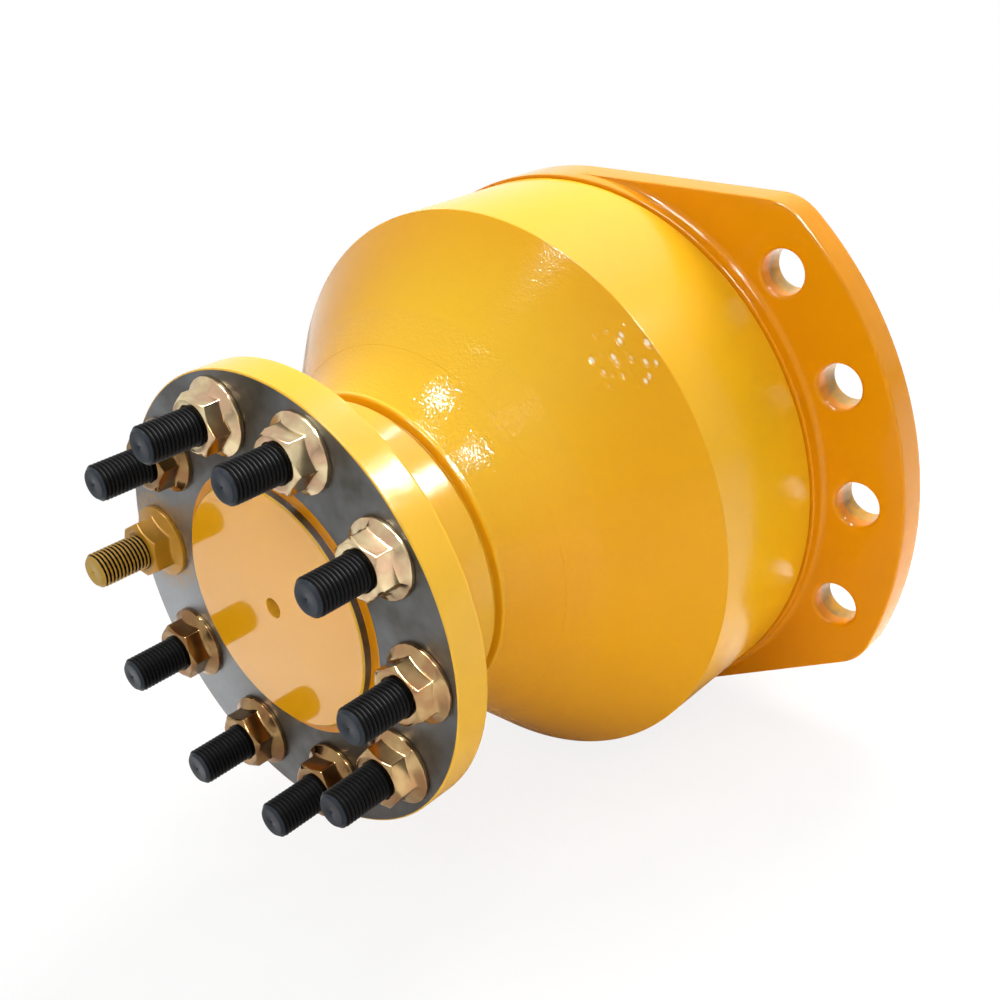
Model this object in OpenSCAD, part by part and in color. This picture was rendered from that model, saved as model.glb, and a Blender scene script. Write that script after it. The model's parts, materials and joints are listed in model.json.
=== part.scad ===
// Radial piston hydraulic wheel motor, in millimetres.
// The shaft axis is Y, the wheel flange looks towards -Y, +Z is up and X runs along the two ears.
// The origin lies on the shaft axis, in the rear face of the mounting plate.
// Each piece is drawn on an upright axis, with its height counted from that rear face towards
// the wheel flange, and lay_down() turns it so that this height runs along -Y.

/* [Wheel flange and shaft] */
// Outside diameter of the wheel flange
flange_d = 278; // [270:1:300]
// Thickness of the wheel flange
flange_t = 23; // [20:1:30]
// Diameter of the pilot that centres the wheel
pilot_d = 150; // [130:1:165]
// Height of the pilot in front of the flange
pilot_h = 5.5; // [3:0.5:12]
// Wall of the hub around the recess for the housing's nose
hub_wall = 2.8; // [2:0.1:4]
// Length of the hub behind the flange
hub_len = 51; // [46:1:70]
// Radius of the fillet between hub and flange
flange_fillet = 30; // [20:1:36]
// Diameter of the lathe centre hole in the pilot
centre_hole_d = 12; // [8:1:20]

/* [Wheel studs and nuts] */
// Number of studs
stud_count = 10; // [8:1:12]
// Diameter of the stud circle
stud_pcd = 225; // [222:1:232]
// Thread diameter of the studs
stud_d = 22; // [18:1:24]
// Length of stud in front of the flange face
stud_reach = 50; // [40:1:60]
// Angle of the first stud from the ear axis
stud_turn = 20.5; // [0:0.5:36]
// Depth to which the studs are screwed into the flange
stud_bite = 19; // [17:1:19]
// Width across flats of the nuts
nut_af = 32; // [28:1:36]
// Height of the nuts
nut_h = 18; // [16:1:24]
// Diameter of the nut collars
nut_collar_d = 46; // [44:1:50]
// Thickness of the nut collar rim
nut_collar_t = 3; // [2:0.5:5]

/* [Bearing housing] */
// Outside diameter of the cylindrical body
body_d = 368; // [362:1:390]
// Length of the cylindrical body
body_len = 91; // [84:1:120]
// Slope of the cone from the shaft axis
cone_angle = 45; // [40:1:50]
// Wall of the collar around the housing's nose
collar_wall = 6; // [4:0.5:12]
// Length of the collar
collar_len = 11; // [10:1:20]
// Length of the straight part of the collar
collar_land = 3; // [2:0.5:5]
// Radius of the wide fillet that leads from collar to cone
neck_fillet = 105; // [80:1:140]
// Width of the open groove between hub and collar
groove_w = 4; // [3:0.5:6]
// Depth of the dark seam groove beside the mounting plate
seam_depth = 1.6; // [0.5:0.1:3]
// Width of the seam groove
seam_w = 1.2; // [0.5:0.1:3]
// Thickness of the cast cone wall
cone_wall = 20; // [14:1:24]

/* [Mounting plate] */
// Thickness of the mounting plate
plate_t = 21; // [18:1:28]
// Height of the raised ring in front of the plate
boss_h = 10; // [8:1:14]
// Diameter of the raised ring and of the plate above
plate_round_d = 372; // [370:1:376]
// Diameter of the plate below
plate_low_d = 382; // [378:1:388]
// Diameter of the arcs at the ends of the two ears
ear_d = 478; // [470:1:500]
// Slope of the upper edge of each ear
ear_slope = 13; // [10:0.5:16]
// Slope of the lower edge of each ear
ear_slope_low = 15.8; // [13:0.1:18]
// Radius of the ear corners
ear_corner_r = 34; // [20:1:44]
// Diameter of the mounting holes
mount_hole_d = 28; // [22:1:32]
// Diameter of the circle on which the mounting holes lie
mount_pcd = 417; // [412:1:424]
// Angle between neighbouring mounting holes
mount_step = 20.5; // [18:0.5:22]
// Radius of the blend between raised ring and plate
boss_blend = 4; // [2:0.5:5]

/* [Bearings and seal] */
// Bore of the front bearing
front_bore_d = 120; // [112:1:124]
// Radial height of the front bearing, which the seal shares
front_section = 30; // [29:0.5:31]
// Bore of the rear bearing
rear_bore_d = 110; // [106:1:112]
// Radial height of the rear bearing
rear_section = 30; // [28:0.5:31]
// Width of each bearing
bearing_w = 38; // [36:1:42]
// Width of each bearing cup
cup_w = 29; // [27:1:31]
// Mean diameter of the tapered rollers
taper_roller_d = 14; // [12:0.5:14.5]
// Number of rollers in the front bearing
front_rollers = 24; // [18:1:26]
// Number of rollers in the rear bearing
rear_rollers = 22; // [16:1:24]
// Diameter of the shaft under the seal
journal_d = 155; // [150:1:158]
// Width of the shaft seal
seal_w = 14; // [12:1:16]
// Thickness of the bearing nut
bearing_nut_t = 14; // [10:1:16]
// Diameter of the bearing nut
bearing_nut_d = 144; // [130:1:150]

/* [Cam, pistons and block] */
// Number of pistons
piston_count = 8; // [8:1:8]
// Number of lobes on the cam ring
lobe_count = 6; // [4:2:8]
// Wall between neighbouring cylinders at their bottoms
cylinder_wall = 10; // [8:0.5:14]
// Stroke of the pistons
stroke = 16; // [12:1:16]
// Diameter of the piston rollers
roller_d = 34; // [28:1:34]
// Length of the piston rollers
roller_len = 40; // [34:1:42]
// Length of a piston below the centre of its roller
piston_len = 33; // [28:1:34]
// Least wall of the cam ring, at its deepest hollow
cam_wall = 16; // [14:1:18]
// Width of the cam ring
cam_w = 56; // [50:1:58]
// Width of the cylinder block
block_w = 62; // [60:1:70]
// Diameter over the teeth of the shaft spline
spline_d = 100; // [92:1:102]
// Number of spline teeth
spline_teeth = 30; // [20:1:36]

/* [Distributor and rear cover] */
// Diameter of the distributor face
distributor_d = 184; // [182:1:186]
// Diameter of the rear cover's barrel
barrel_d = 230; // [222:1:240]
// How far the flange of the rear cover stands out behind the plate
cover_flange_t = 18; // [16:1:24]
// Thickness of the rear cover's end wall
end_wall = 16; // [12:1:24]
// Number of cover screws
screw_count = 12; // [8:1:16]
// Diameter of the cover screws
screw_d = 12; // [10:1:12]
// Root diameter of the two work port threads
port_d = 31; // [26:1:32]
// Depth of the work port threads
port_depth = 24; // [18:1:28]
// Root diameter of the two drain port threads
drain_d = 16; // [12:1:18]
// Depth of the drain port threads
drain_depth = 16; // [12:1:24]

/* [Hidden] */
$fn = 96;

// Fits and small breaks
cut = 1; // how far a cutter runs past the face that it opens
edge_break = 1; // chamfer on machined edges
slide_gap = 0.06; // radial play of pistons and piston rollers
seal_gap = 0.05; // play under the seal lip
roll_gap = 0.15; // play of the tapered rollers
face_gap = 0.1; // play between the turning block and the distributor
spigot_gap = 0.05; // play of the cam ring, cover spigot and distributor in their bores
labyrinth_gap = 0.7; // play of the housing nose in the hub recess
retracted_gap = 1.5; // play between retracted piston rollers and the cam crests

// Radii
flange_r = flange_d / 2;
pilot_r = pilot_d / 2;
body_r = body_d / 2;
plate_round_r = plate_round_d / 2;
plate_low_r = plate_low_d / 2;
ear_r = ear_d / 2;
journal_r = journal_d / 2;
front_seat_r = front_bore_d / 2;
front_cup_r = front_seat_r + front_section;
rear_seat_r = rear_bore_d / 2;
rear_cup_r = rear_seat_r + rear_section;
roller_r = roller_d / 2;
spline_r = spline_d / 2;
stud_r = stud_d / 2;
stud_circle_r = stud_pcd / 2;
thread_fall = 0.5; // half the depth of the stud thread
thread_mean_r = stud_r - thread_fall;
stud_chamfer = 2;

// Housing nose that runs in a recess of the hub, and the hub and collar around it
nose_wall = 3;
nose_r = front_cup_r + nose_wall;
recess_r = nose_r + labyrinth_gap;
hub_r = recess_r + hub_wall;
collar_r = nose_r + collar_wall;

// Heights of the outer pieces, from the rear face of the plate
seam_z = plate_t + boss_h;
crease_z = seam_z + body_len;
neck_z = crease_z + (body_r - collar_r) / tan(cone_angle);
collar_z = neck_z + collar_len;
hub_z = collar_z + groove_w;
flange_back_z = hub_z + hub_len;
face_z = flange_back_z + flange_t;

// End of the housing nose in the recess of the hub
recess_depth = 4.5;
nose_z = hub_z + recess_depth - 1;

// Cam, block and pistons, built inwards from the body
cam_wall_out = 28; // body wall around the cam ring, which takes the cover screws
cam_ring_r = body_r - cam_wall_out;
cam_max_r = cam_ring_r - cam_wall;
cam_min_r = cam_max_r - stroke;
cam_mid_r = (cam_max_r + cam_min_r) / 2;
cam_steps = 240;
block_r = cam_min_r - 5;
block_z0 = 2;
block_z1 = block_z0 + block_w;
engine_z = (block_z0 + block_z1) / 2;
cam_z0 = engine_z - cam_w / 2;
cam_z1 = engine_z + cam_w / 2;
roller_rest_r = cam_min_r - roller_r - retracted_gap;
bore_bottom_r = roller_rest_r - piston_len - 2;
piston_r = bore_bottom_r * sin(180 / piston_count) - cylinder_wall / 2;
bore_r = piston_r + slide_gap;
piston_turn = 45 / lobe_count;
cradle_lip = 4; // how far a piston wraps its roller above the roller's centre
slot_play = 0.5; // play of a roller in its slot of the block
feed_r = 6; // oil hole from a cylinder to the distributor
feed_circle_r = bore_bottom_r + feed_r;
ring_w = 2.5;
ring_depth = 2;
ring_from_bottom = 8;

// Centre hole in the pilot
centre_hole_depth = 16;
centre_tip = 6;

// Bearings, stacked from the block and from the seal
nut_z0 = block_z1 + 4;
nut_z1 = nut_z0 + bearing_nut_t;
tab_washer_t = 2;
rear_back_z = nut_z1 + tab_washer_t;
rear_shoulder_z = rear_back_z + bearing_w;
seal_z1 = collar_z - edge_break;
seal_z0 = seal_z1 - seal_w;
front_back_z = seal_z0 - 5;
front_shoulder_z = front_back_z - bearing_w;
web_r = rear_cup_r - 8; // web that carries both cups
tube_r = rear_cup_r + 14; // tube of the housing around the rear bearing
tube_z = rear_back_z + 2;
roller_tilt = 13;
taper_roller_r = taper_roller_d / 2;
taper_roller_len = 26;
roller_mid = 17.5; // distance of the roller centres from the back of the cup
cage_t = 2.2;

// Distributor and cover
cover_spigot = cam_z0;
cover_flange_r = body_r - 5;
cover_seat = 1; // depth of the recess that centres the cover on the plate
cover_play = 0.5;
screw_r = screw_d / 2;
screw_circle_r = cam_ring_r + 12;
screw_hole_r = screw_r + 0.75;
screw_head_r = 0.75 * screw_d;
screw_sunk = screw_d + 0.5;
screw_bite = 2 * screw_d;
distributor_r = distributor_d / 2;
land_r = [distributor_r - 5, distributor_r - 13, distributor_r - 21];
land_z0 = [-24, -56, -80];
land_z1 = [-14, -50, -74];
neck_drop = [12, 8]; // depth of the two oil grooves below the land in front of each
chamber_floor_z = land_z0[2] - 4;
cover_end_z = chamber_floor_z - end_wall;
seal_ring_w = 3;
seal_ring_depth = 3;
work_port_r = port_d / 2;
port_boss_r = work_port_r + 8.5;
port_boss_reach = barrel_d / 2 + 5;
port_angles = [60, 120];
port_z = [-37, -63];
port_feed_r = 9;
drain_r = drain_d / 2;
drain_feed_r = drain_r - 2;
drain_circle_r = barrel_d / 2 - 14;
drain_angle = 90;
plug_angle = 270;
o_ring_r = 1.08; // half the section of both O-rings
o_ring_room = 3.2;
o_ring_depth = 2.2;
dowel_r = 5;
dowel_circle_r = cam_ring_r - 8;
dowel_depth = 9;

painted = "#efb02a";
bare_steel = "#8d9094";
black_oxide = "#22242a";
zinc_yellow = "#c9a870";
ground_steel = "#b9bdc2";
bronze = "#b08a4a";
rubber = "#26262a";

module lay_down() {
    rotate([90, 0, 0]) children();
}

module turned(points) {
    rotate_extrude() polygon(points);
}

module tube_between(outer, inner, z0, z1) {
    translate([0, 0, z0]) difference() {
        cylinder(r = outer, h = z1 - z0);
        translate([0, 0, -cut]) cylinder(r = inner, h = z1 - z0 + 2 * cut);
    }
}

module drill(r, z0, z1) {
    translate([0, 0, z0]) cylinder(r = r, h = z1 - z0);
}

module around(count, radius, turn = 0) {
    for (i = [0 : count - 1]) rotate(turn + i * 360 / count) translate([radius, 0, 0]) children();
}

// A drilling along the radius, at height z, between two distances from the axis
module radial_drill(r, z, from_r, to_r) {
    translate([from_r, 0, z]) rotate([0, 90, 0]) cylinder(r = r, h = to_r - from_r);
}

// Points of an arc around (x, y)
function arc(x, y, r, a0, a1, steps) =
    [for (i = [0 : steps]) let (a = a0 + (a1 - a0) * i / steps) [x + r * cos(a), y + r * sin(a)]];

// Wheel shaft: flange, pilot, hub, seal journal, bearing seats and spline in one forging
shaft_end_z = block_z0 + 8;
spline_tooth = 3.5;
mid_shaft_r = front_seat_r - 2;
nut_thread_r = rear_seat_r - 1;
spline_root_r = spline_r - spline_tooth;
clip_r = spline_root_r - 2;
clip_z = shaft_end_z + 2;
clip_t = 3;

function spline_points(tip, root, share) = [
    for (i = [0 : spline_teeth - 1])
        for (p = [[root, -share - 0.06], [tip, -share], [tip, share], [root, share + 0.06]])
            let (a = (i + p[1]) * 360 / spline_teeth) [p[0] * cos(a), p[0] * sin(a)]
];

module wheel_shaft() {
    pilot_top_z = face_z + pilot_h;
    color(bare_steel) lay_down() difference() {
        union() {
            turned(concat([
                [0, shaft_end_z], [spline_root_r - 0.5, shaft_end_z],
                [spline_root_r - 0.5, block_z1],
                [nut_thread_r, block_z1], [nut_thread_r, rear_back_z],
                [rear_seat_r, rear_back_z], [rear_seat_r, rear_shoulder_z + 2],
                [mid_shaft_r, rear_shoulder_z + 2], [mid_shaft_r, front_shoulder_z - 2],
                [front_seat_r, front_shoulder_z - 2], [front_seat_r, front_back_z],
                [journal_r, front_back_z], [journal_r, hub_z + recess_depth],
                [recess_r, hub_z + recess_depth], [recess_r, hub_z],
                [hub_r - edge_break, hub_z], [hub_r, hub_z + edge_break]
            ],
            arc(hub_r + flange_fillet, flange_back_z - flange_fillet, flange_fillet, 180, 90, 10),
            [
                [flange_r - 3 * edge_break, flange_back_z], [flange_r - edge_break, flange_back_z + edge_break],
                [flange_r, flange_back_z + 3 * edge_break],
                [flange_r, face_z - edge_break], [flange_r - edge_break, face_z],
                [pilot_r, face_z], [pilot_r, pilot_top_z - edge_break],
                [pilot_r - edge_break, pilot_top_z], [0, pilot_top_z]
            ]));
            translate([0, 0, shaft_end_z])
                linear_extrude(block_z1 - shaft_end_z)
                    polygon(spline_points(spline_r, spline_root_r, 0.2));
        }
        around(stud_count, stud_circle_r, stud_turn) drill(thread_mean_r, face_z - stud_bite, face_z + cut);
        drill(centre_hole_d / 2, pilot_top_z - centre_hole_depth, pilot_top_z + cut);
        translate([0, 0, pilot_top_z - centre_hole_depth - centre_tip])
            cylinder(r1 = centre_hole_d / 12, r2 = centre_hole_d / 2, h = centre_tip + 0.01);
        tube_between(spline_r + cut, clip_r, clip_z, clip_z + clip_t);
    }
}

// Studs screwed into blind holes of the flange. Inside a thread both pieces meet at its mean
// radius, and the free length is drawn at the full one.
module wheel_studs() {
    tip_z = face_z + stud_reach;
    free_z = face_z + nut_h + 1;
    color(black_oxide) lay_down() around(stud_count, stud_circle_r, stud_turn) turned([
        [0, face_z - stud_bite], [thread_mean_r, face_z - stud_bite],
        [thread_mean_r, free_z], [stud_r, free_z],
        [stud_r, tip_z - stud_chamfer], [stud_r - stud_chamfer, tip_z], [0, tip_z]
    ]);
}

// Hexagon nuts with a conical collar, each turned by its own amount
module wheel_nuts() {
    corner_r = nut_af / sqrt(3);
    color(zinc_yellow) lay_down() for (i = [0 : stud_count - 1])
        rotate(stud_turn + i * 360 / stud_count) translate([stud_circle_r, 0, face_z])
            rotate(i * 23 % 60) difference() {
                union() {
                    intersection() {
                        cylinder(r = corner_r, h = nut_h, $fn = 6);
                        turned([
                            [0, 0], [corner_r + cut, 0], [corner_r + cut, nut_h - 4],
                            [nut_af / 2 - 0.5, nut_h], [0, nut_h]
                        ]);
                    }
                    turned([
                        [0, 0], [nut_collar_d / 2, 0], [nut_collar_d / 2, nut_collar_t],
                        [nut_af / 2, nut_collar_t + 3.5], [0, nut_collar_t + 3.5]
                    ]);
                }
                drill(thread_mean_r, -cut, nut_h + cut);
            }
}

// Bearing housing: cylinder, cone, filleted neck and collar, with a cored space behind the cone
module bearing_housing() {
    neck_len = collar_len - collar_land;
    neck_start = cone_angle - acos(1 - neck_len * sin(cone_angle) / neck_fillet);
    neck_r = collar_r + neck_fillet * cos(neck_start);
    neck_middle_z = neck_z + neck_len + neck_fillet * sin(neck_start);
    cavity_r = cam_ring_r - 8;
    cavity_z = front_shoulder_z - 10;
    wall_r = cone_wall / cos(cone_angle);
    slope = tan(cone_angle);
    color(painted) lay_down() difference() {
        turned(concat(
            [
                [cam_ring_r + o_ring_room, seam_z], [body_r - seam_depth, seam_z],
                [body_r - seam_depth, seam_z + seam_w], [body_r, seam_z + seam_w], [body_r, crease_z]
            ],
            arc(neck_r, neck_middle_z, neck_fillet, 180 + cone_angle, 180 + neck_start, 8),
            [
                [collar_r, collar_z - edge_break], [collar_r - edge_break, collar_z],
                [nose_r, collar_z], [nose_r, nose_z], [front_cup_r, nose_z],
                [front_cup_r, front_shoulder_z], [web_r, front_shoulder_z],
                [web_r, rear_shoulder_z], [rear_cup_r, rear_shoulder_z],
                [rear_cup_r, tube_z], [tube_r, tube_z], [tube_r, cavity_z],
                [body_r - wall_r - (cavity_z - crease_z) * slope, cavity_z],
                [cavity_r, crease_z + (body_r - wall_r - cavity_r) / slope],
                [cavity_r, cam_z1], [cam_ring_r, cam_z1],
                [cam_ring_r, seam_z + o_ring_depth],
                [cam_ring_r + o_ring_room, seam_z + o_ring_depth]
            ]
        ));
        around(screw_count, screw_circle_r, 180 / screw_count) drill(screw_r, seam_z - cut, seam_z + screw_bite + 2);
    }
}

// The plate's outline: round above and below, with straight edges to two ears with round corners
corner_circle_r = ear_r - ear_corner_r;
upper_normal = 90 - ear_slope;
lower_normal = 90 - ear_slope_low;
upper_at = upper_normal - acos((plate_round_r - ear_corner_r) / corner_circle_r);
lower_at = lower_normal - acos((plate_low_r - ear_corner_r) / corner_circle_r);

function ear_points() = concat(
    arc(
        corner_circle_r * cos(lower_at), -corner_circle_r * sin(lower_at),
        ear_corner_r, -lower_normal, -lower_at, 10
    ),
    arc(0, 0, ear_r, -lower_at, upper_at, 32),
    arc(
        corner_circle_r * cos(upper_at), corner_circle_r * sin(upper_at),
        ear_corner_r, upper_at, upper_normal, 10
    )
);
function other_ear_points(ear) = [for (i = [len(ear) - 1 : -1 : 0]) [-ear[i][0], ear[i][1]]];
function plate_points() = concat(
    ear_points(),
    arc(0, 0, plate_round_r, upper_normal, 180 - upper_normal, 12),
    other_ear_points(ear_points()),
    arc(0, 0, plate_low_r, 180 + lower_normal, 360 - lower_normal, 12)
);

module mounting_plate() {
    blend_z = plate_t + boss_blend;
    color(painted) lay_down() difference() {
        union() {
            linear_extrude(plate_t) polygon(plate_points());
            turned([
                [cam_ring_r, 0], [plate_round_r, 0], [plate_round_r, seam_z - edge_break],
                [plate_round_r - edge_break, seam_z], [cam_ring_r, seam_z]
            ]);
            intersection() {
                turned(concat(
                    [[cam_ring_r, plate_t - cut], [plate_round_r + boss_blend, plate_t - cut]],
                    arc(plate_round_r + boss_blend, blend_z, boss_blend, 270, 180, 6),
                    [[cam_ring_r, blend_z]]
                ));
                linear_extrude(blend_z + cut) polygon(plate_points());
            }
        }
        drill(cam_ring_r, -cut, seam_z + cut);
        drill(cover_flange_r + cover_play, -cut, cover_seat);
        drill(cam_ring_r + o_ring_room, -cut, cover_seat + o_ring_depth);
        around(screw_count, screw_circle_r, 180 / screw_count) drill(screw_hole_r, -cut, seam_z + cut);
        for (side = [0, 180])
            for (i = [-1.5 : 1 : 1.5])
                rotate(side + i * mount_step)
                    translate([mount_pcd / 2, 0, 0]) drill(mount_hole_d / 2, -cut, plate_t + cut);
    }
}

// Shaft seal: pressed steel case, rubber lips on the journal, and the garter spring behind them
lip_root_r = journal_r + 3;
case_t = 2;

module seal_case() {
    color(ground_steel) lay_down() turned([
        [front_cup_r - case_t, seal_z0], [front_cup_r, seal_z0], [front_cup_r, seal_z1],
        [lip_root_r, seal_z1], [lip_root_r, seal_z1 - case_t], [front_cup_r - case_t, seal_z1 - case_t]
    ]);
}

module seal_lip() {
    lip_z = seal_z0 + 5;
    lip_r = journal_r + seal_gap;
    color(rubber) lay_down() turned([
        [lip_root_r, seal_z1], [lip_r + 1, seal_z1], [lip_r, seal_z1 - 1],
        [journal_r + 1.5, seal_z1 - 3], [journal_r + 1.5, lip_z + 2],
        [lip_r, lip_z], [journal_r + 1.7, lip_z - 2.5], [lip_root_r, lip_z - 2.5]
    ]);
}

module seal_spring() {
    wire_r = 1.1;
    color(ground_steel) lay_down()
        rotate_extrude() translate([lip_root_r + wire_r + 0.02, seal_z0 + 4.5]) circle(r = wire_r, $fn = 24);
}

// Tapered roller bearings. They are drawn with the back of the cup at height 0 and the back of
// the cone at the top, and pitch is the radius of the roller centres.
function roller_taper(pitch) = asin(taper_roller_r / pitch * sin(roller_tilt));

module bearing_cup(pitch, outer) {
    a = roller_tilt + roller_taper(pitch);
    race = pitch + taper_roller_r / cos(a) + roll_gap;
    turned([
        [race - roller_mid * tan(a), 0], [outer, 0], [outer, cup_w],
        [race + (cup_w - roller_mid) * tan(a), cup_w]
    ]);
}

module bearing_cone(pitch, bore) {
    a = roller_tilt - roller_taper(pitch);
    race = pitch - taper_roller_r / cos(a) - roll_gap;
    rib_z = roller_mid + taper_roller_len / 2 + 1.8;
    small_rib = 4;
    turned([
        [bore, 0], [race - (roller_mid - small_rib) * tan(a) + 1, 0],
        [race - (roller_mid - small_rib) * tan(a) + 1, small_rib],
        [race - (roller_mid - small_rib) * tan(a), small_rib],
        [race + (rib_z - roller_mid) * tan(a), rib_z],
        [pitch, rib_z], [pitch, bearing_w - edge_break],
        [pitch - edge_break, bearing_w], [bore, bearing_w]
    ]);
}

module tapered_rollers(pitch, count, grow = 0) {
    spread = taper_roller_len / 2 * tan(roller_taper(pitch));
    around(count, pitch) translate([0, 0, roller_mid]) rotate([0, roller_tilt, 0])
        translate([0, 0, -taper_roller_len / 2 - grow])
            cylinder(
                r1 = taper_roller_r - spread + grow,
                r2 = taper_roller_r + spread + grow,
                h = taper_roller_len + 2 * grow
            );
}

module bearing_cage(pitch, count) {
    slope = tan(roller_tilt);
    inner = pitch + 1;
    low = 1.5;
    high = bearing_w - 3.5;
    difference() {
        turned([
            [inner + (low - roller_mid) * slope, low], [inner + cage_t + (low - roller_mid) * slope, low],
            [inner + cage_t + (high - roller_mid) * slope, high], [inner + (high - roller_mid) * slope, high]
        ]);
        tapered_rollers(pitch, count, 0.3);
    }
}

front_pitch = (front_seat_r + front_cup_r) / 2;
rear_pitch = (rear_seat_r + rear_cup_r) / 2;

module front_place() {
    lay_down() translate([0, 0, front_shoulder_z]) children();
}

module rear_place() {
    lay_down() translate([0, 0, rear_shoulder_z]) mirror([0, 0, 1]) children();
}

module front_bearing_cup() {
    color(ground_steel) front_place() bearing_cup(front_pitch, front_cup_r);
}

module front_bearing_cone() {
    color(ground_steel) front_place() bearing_cone(front_pitch, front_seat_r);
}

module front_bearing_rollers() {
    color(ground_steel) front_place() tapered_rollers(front_pitch, front_rollers);
}

module front_bearing_cage() {
    color(bronze) front_place() bearing_cage(front_pitch, front_rollers);
}

module rear_bearing_cup() {
    color(ground_steel) rear_place() bearing_cup(rear_pitch, rear_cup_r);
}

module rear_bearing_cone() {
    color(ground_steel) rear_place() bearing_cone(rear_pitch, rear_seat_r);
}

module rear_bearing_rollers() {
    color(ground_steel) rear_place() tapered_rollers(rear_pitch, rear_rollers);
}

module rear_bearing_cage() {
    color(bronze) rear_place() bearing_cage(rear_pitch, rear_rollers);
}

// Washer with four tabs bent down into the slots of the bearing nut
slot_w = 12;
slot_depth = 6;

module bearing_tab_washer() {
    tab_bent = 6;
    tab_r = bearing_nut_d / 2 - slot_depth + 0.2;
    color(ground_steel) lay_down() union() {
        tube_between(tab_r + tab_washer_t, nut_thread_r, nut_z1, rear_back_z);
        around(4, tab_r) translate([0, 1 - slot_w / 2, nut_z1 - tab_bent])
            cube([tab_washer_t, slot_w - 2, tab_bent + tab_washer_t]);
    }
}

module bearing_nut() {
    color(bare_steel) lay_down() difference() {
        tube_between(bearing_nut_d / 2, nut_thread_r, nut_z0, nut_z1);
        around(4, bearing_nut_d / 2 - slot_depth) translate([0, -slot_w / 2, nut_z0 - cut])
            cube([slot_depth + cut, slot_w, bearing_nut_t + 2 * cut]);
    }
}

// Cylinder block, with guide slots for the roller ends and one oil hole to each cylinder
module cylinder_block() {
    color(bare_steel) lay_down() difference() {
        tube_between(block_r, spline_root_r, block_z0, block_z1);
        translate([0, 0, block_z0 - cut]) linear_extrude(block_w + 2 * cut)
            polygon(spline_points(spline_r + 0.1, spline_root_r + 0.1, 0.21));
        drill(spline_r + 6, block_z0 - cut, clip_z + clip_t);
        for (i = [0 : piston_count - 1]) rotate(piston_turn + i * 360 / piston_count) {
            radial_drill(bore_r, engine_z, bore_bottom_r, block_r + cut);
            translate([
                roller_rest_r - roller_r - slot_play,
                -roller_r - slot_play,
                engine_z - roller_len / 2 - slot_play
            ])
                cube([block_r, roller_d + 2 * slot_play, roller_len + 2 * slot_play]);
            translate([feed_circle_r, 0, 0]) drill(feed_r, block_z0 - cut, engine_z);
        }
    }
}

module block_circlip() {
    clip_gap = 10;
    color(ground_steel) lay_down() difference() {
        tube_between(spline_r + 3, clip_r, clip_z, clip_z + clip_t);
        translate([0, -clip_gap / 2, clip_z - cut]) cube([spline_r + 10, clip_gap, clip_t + 2 * cut]);
    }
}

// Piston with its roller cradle. x is the distance from the roller's centre, outwards.
module at_piston(i) {
    lay_down() rotate(piston_turn + (i - 1) * 360 / piston_count)
        translate([roller_rest_r, 0, engine_z]) children();
}

module piston(i) {
    ring_x = -piston_len + ring_from_bottom;
    color(ground_steel) at_piston(i) difference() {
        radial_drill(piston_r, 0, -piston_len, cradle_lip);
        drill(roller_r + slide_gap, -piston_r - cut, piston_r + cut);
        radial_drill(piston_r / 2, 0, -piston_len - cut, -piston_len + 10);
        difference() {
            radial_drill(piston_r + cut, 0, ring_x, ring_x + ring_w);
            radial_drill(piston_r - ring_depth, 0, ring_x - cut, ring_x + ring_w + cut);
        }
        radial_drill(2, 0, -piston_len, -roller_r);
    }
}

module piston_ring(i) {
    ring_x = -piston_len + ring_from_bottom;
    color(rubber) at_piston(i) difference() {
        radial_drill(piston_r, 0, ring_x + 0.05, ring_x + ring_w - 0.05);
        radial_drill(piston_r - ring_depth + 0.1, 0, ring_x - cut, ring_x + ring_w + cut);
    }
}

module piston_roller(i) {
    half = roller_len / 2;
    color(ground_steel) at_piston(i) turned([
        [0, -half], [roller_r - edge_break, -half], [roller_r, -half + edge_break],
        [roller_r, half - edge_break], [roller_r - edge_break, half], [0, half]
    ]);
}

// Cam ring: the radius of its running face follows a cosine with one wave for each lobe
module cam_ring() {
    color(bare_steel) lay_down() difference() {
        translate([0, 0, cam_z0]) cylinder(r = cam_ring_r - spigot_gap, h = cam_w);
        translate([0, 0, cam_z0 - cut]) linear_extrude(cam_w + 2 * cut) polygon([
            for (i = [0 : cam_steps - 1])
                let (a = i * 360 / cam_steps, r = cam_mid_r + stroke / 2 * cos(lobe_count * a))
                    [r * cos(a), r * sin(a)]
        ]);
        at_dowels() drill(dowel_r, cam_z0 - cut, cam_z0 + dowel_depth);
    }
}

module at_dowels() {
    around(lobe_count / 2, dowel_circle_r, 180 / lobe_count) children();
}

module cam_dowels() {
    color(ground_steel) lay_down() at_dowels() drill(dowel_r, cam_z0 - dowel_depth, cam_z0 + dowel_depth);
}

// Distributor: it stands still, and its face feeds the turning block
distributor_bore_r = 38;
deep_feed_circle_r = land_r[2] - 12;
deep_feed_r = 4.5;
face_feed_r = 5.5;
cross_slot_z = -12;
spring_circle_r = deep_feed_circle_r - 10;
spring_pocket_r = 5.5;
spring_pocket_depth = 18;
pin_r = 4;
pin_seat = 6; // depth of the pin in the cover
pin_bite = 10; // depth of the pin in the distributor
pin_turn = 15;

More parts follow.
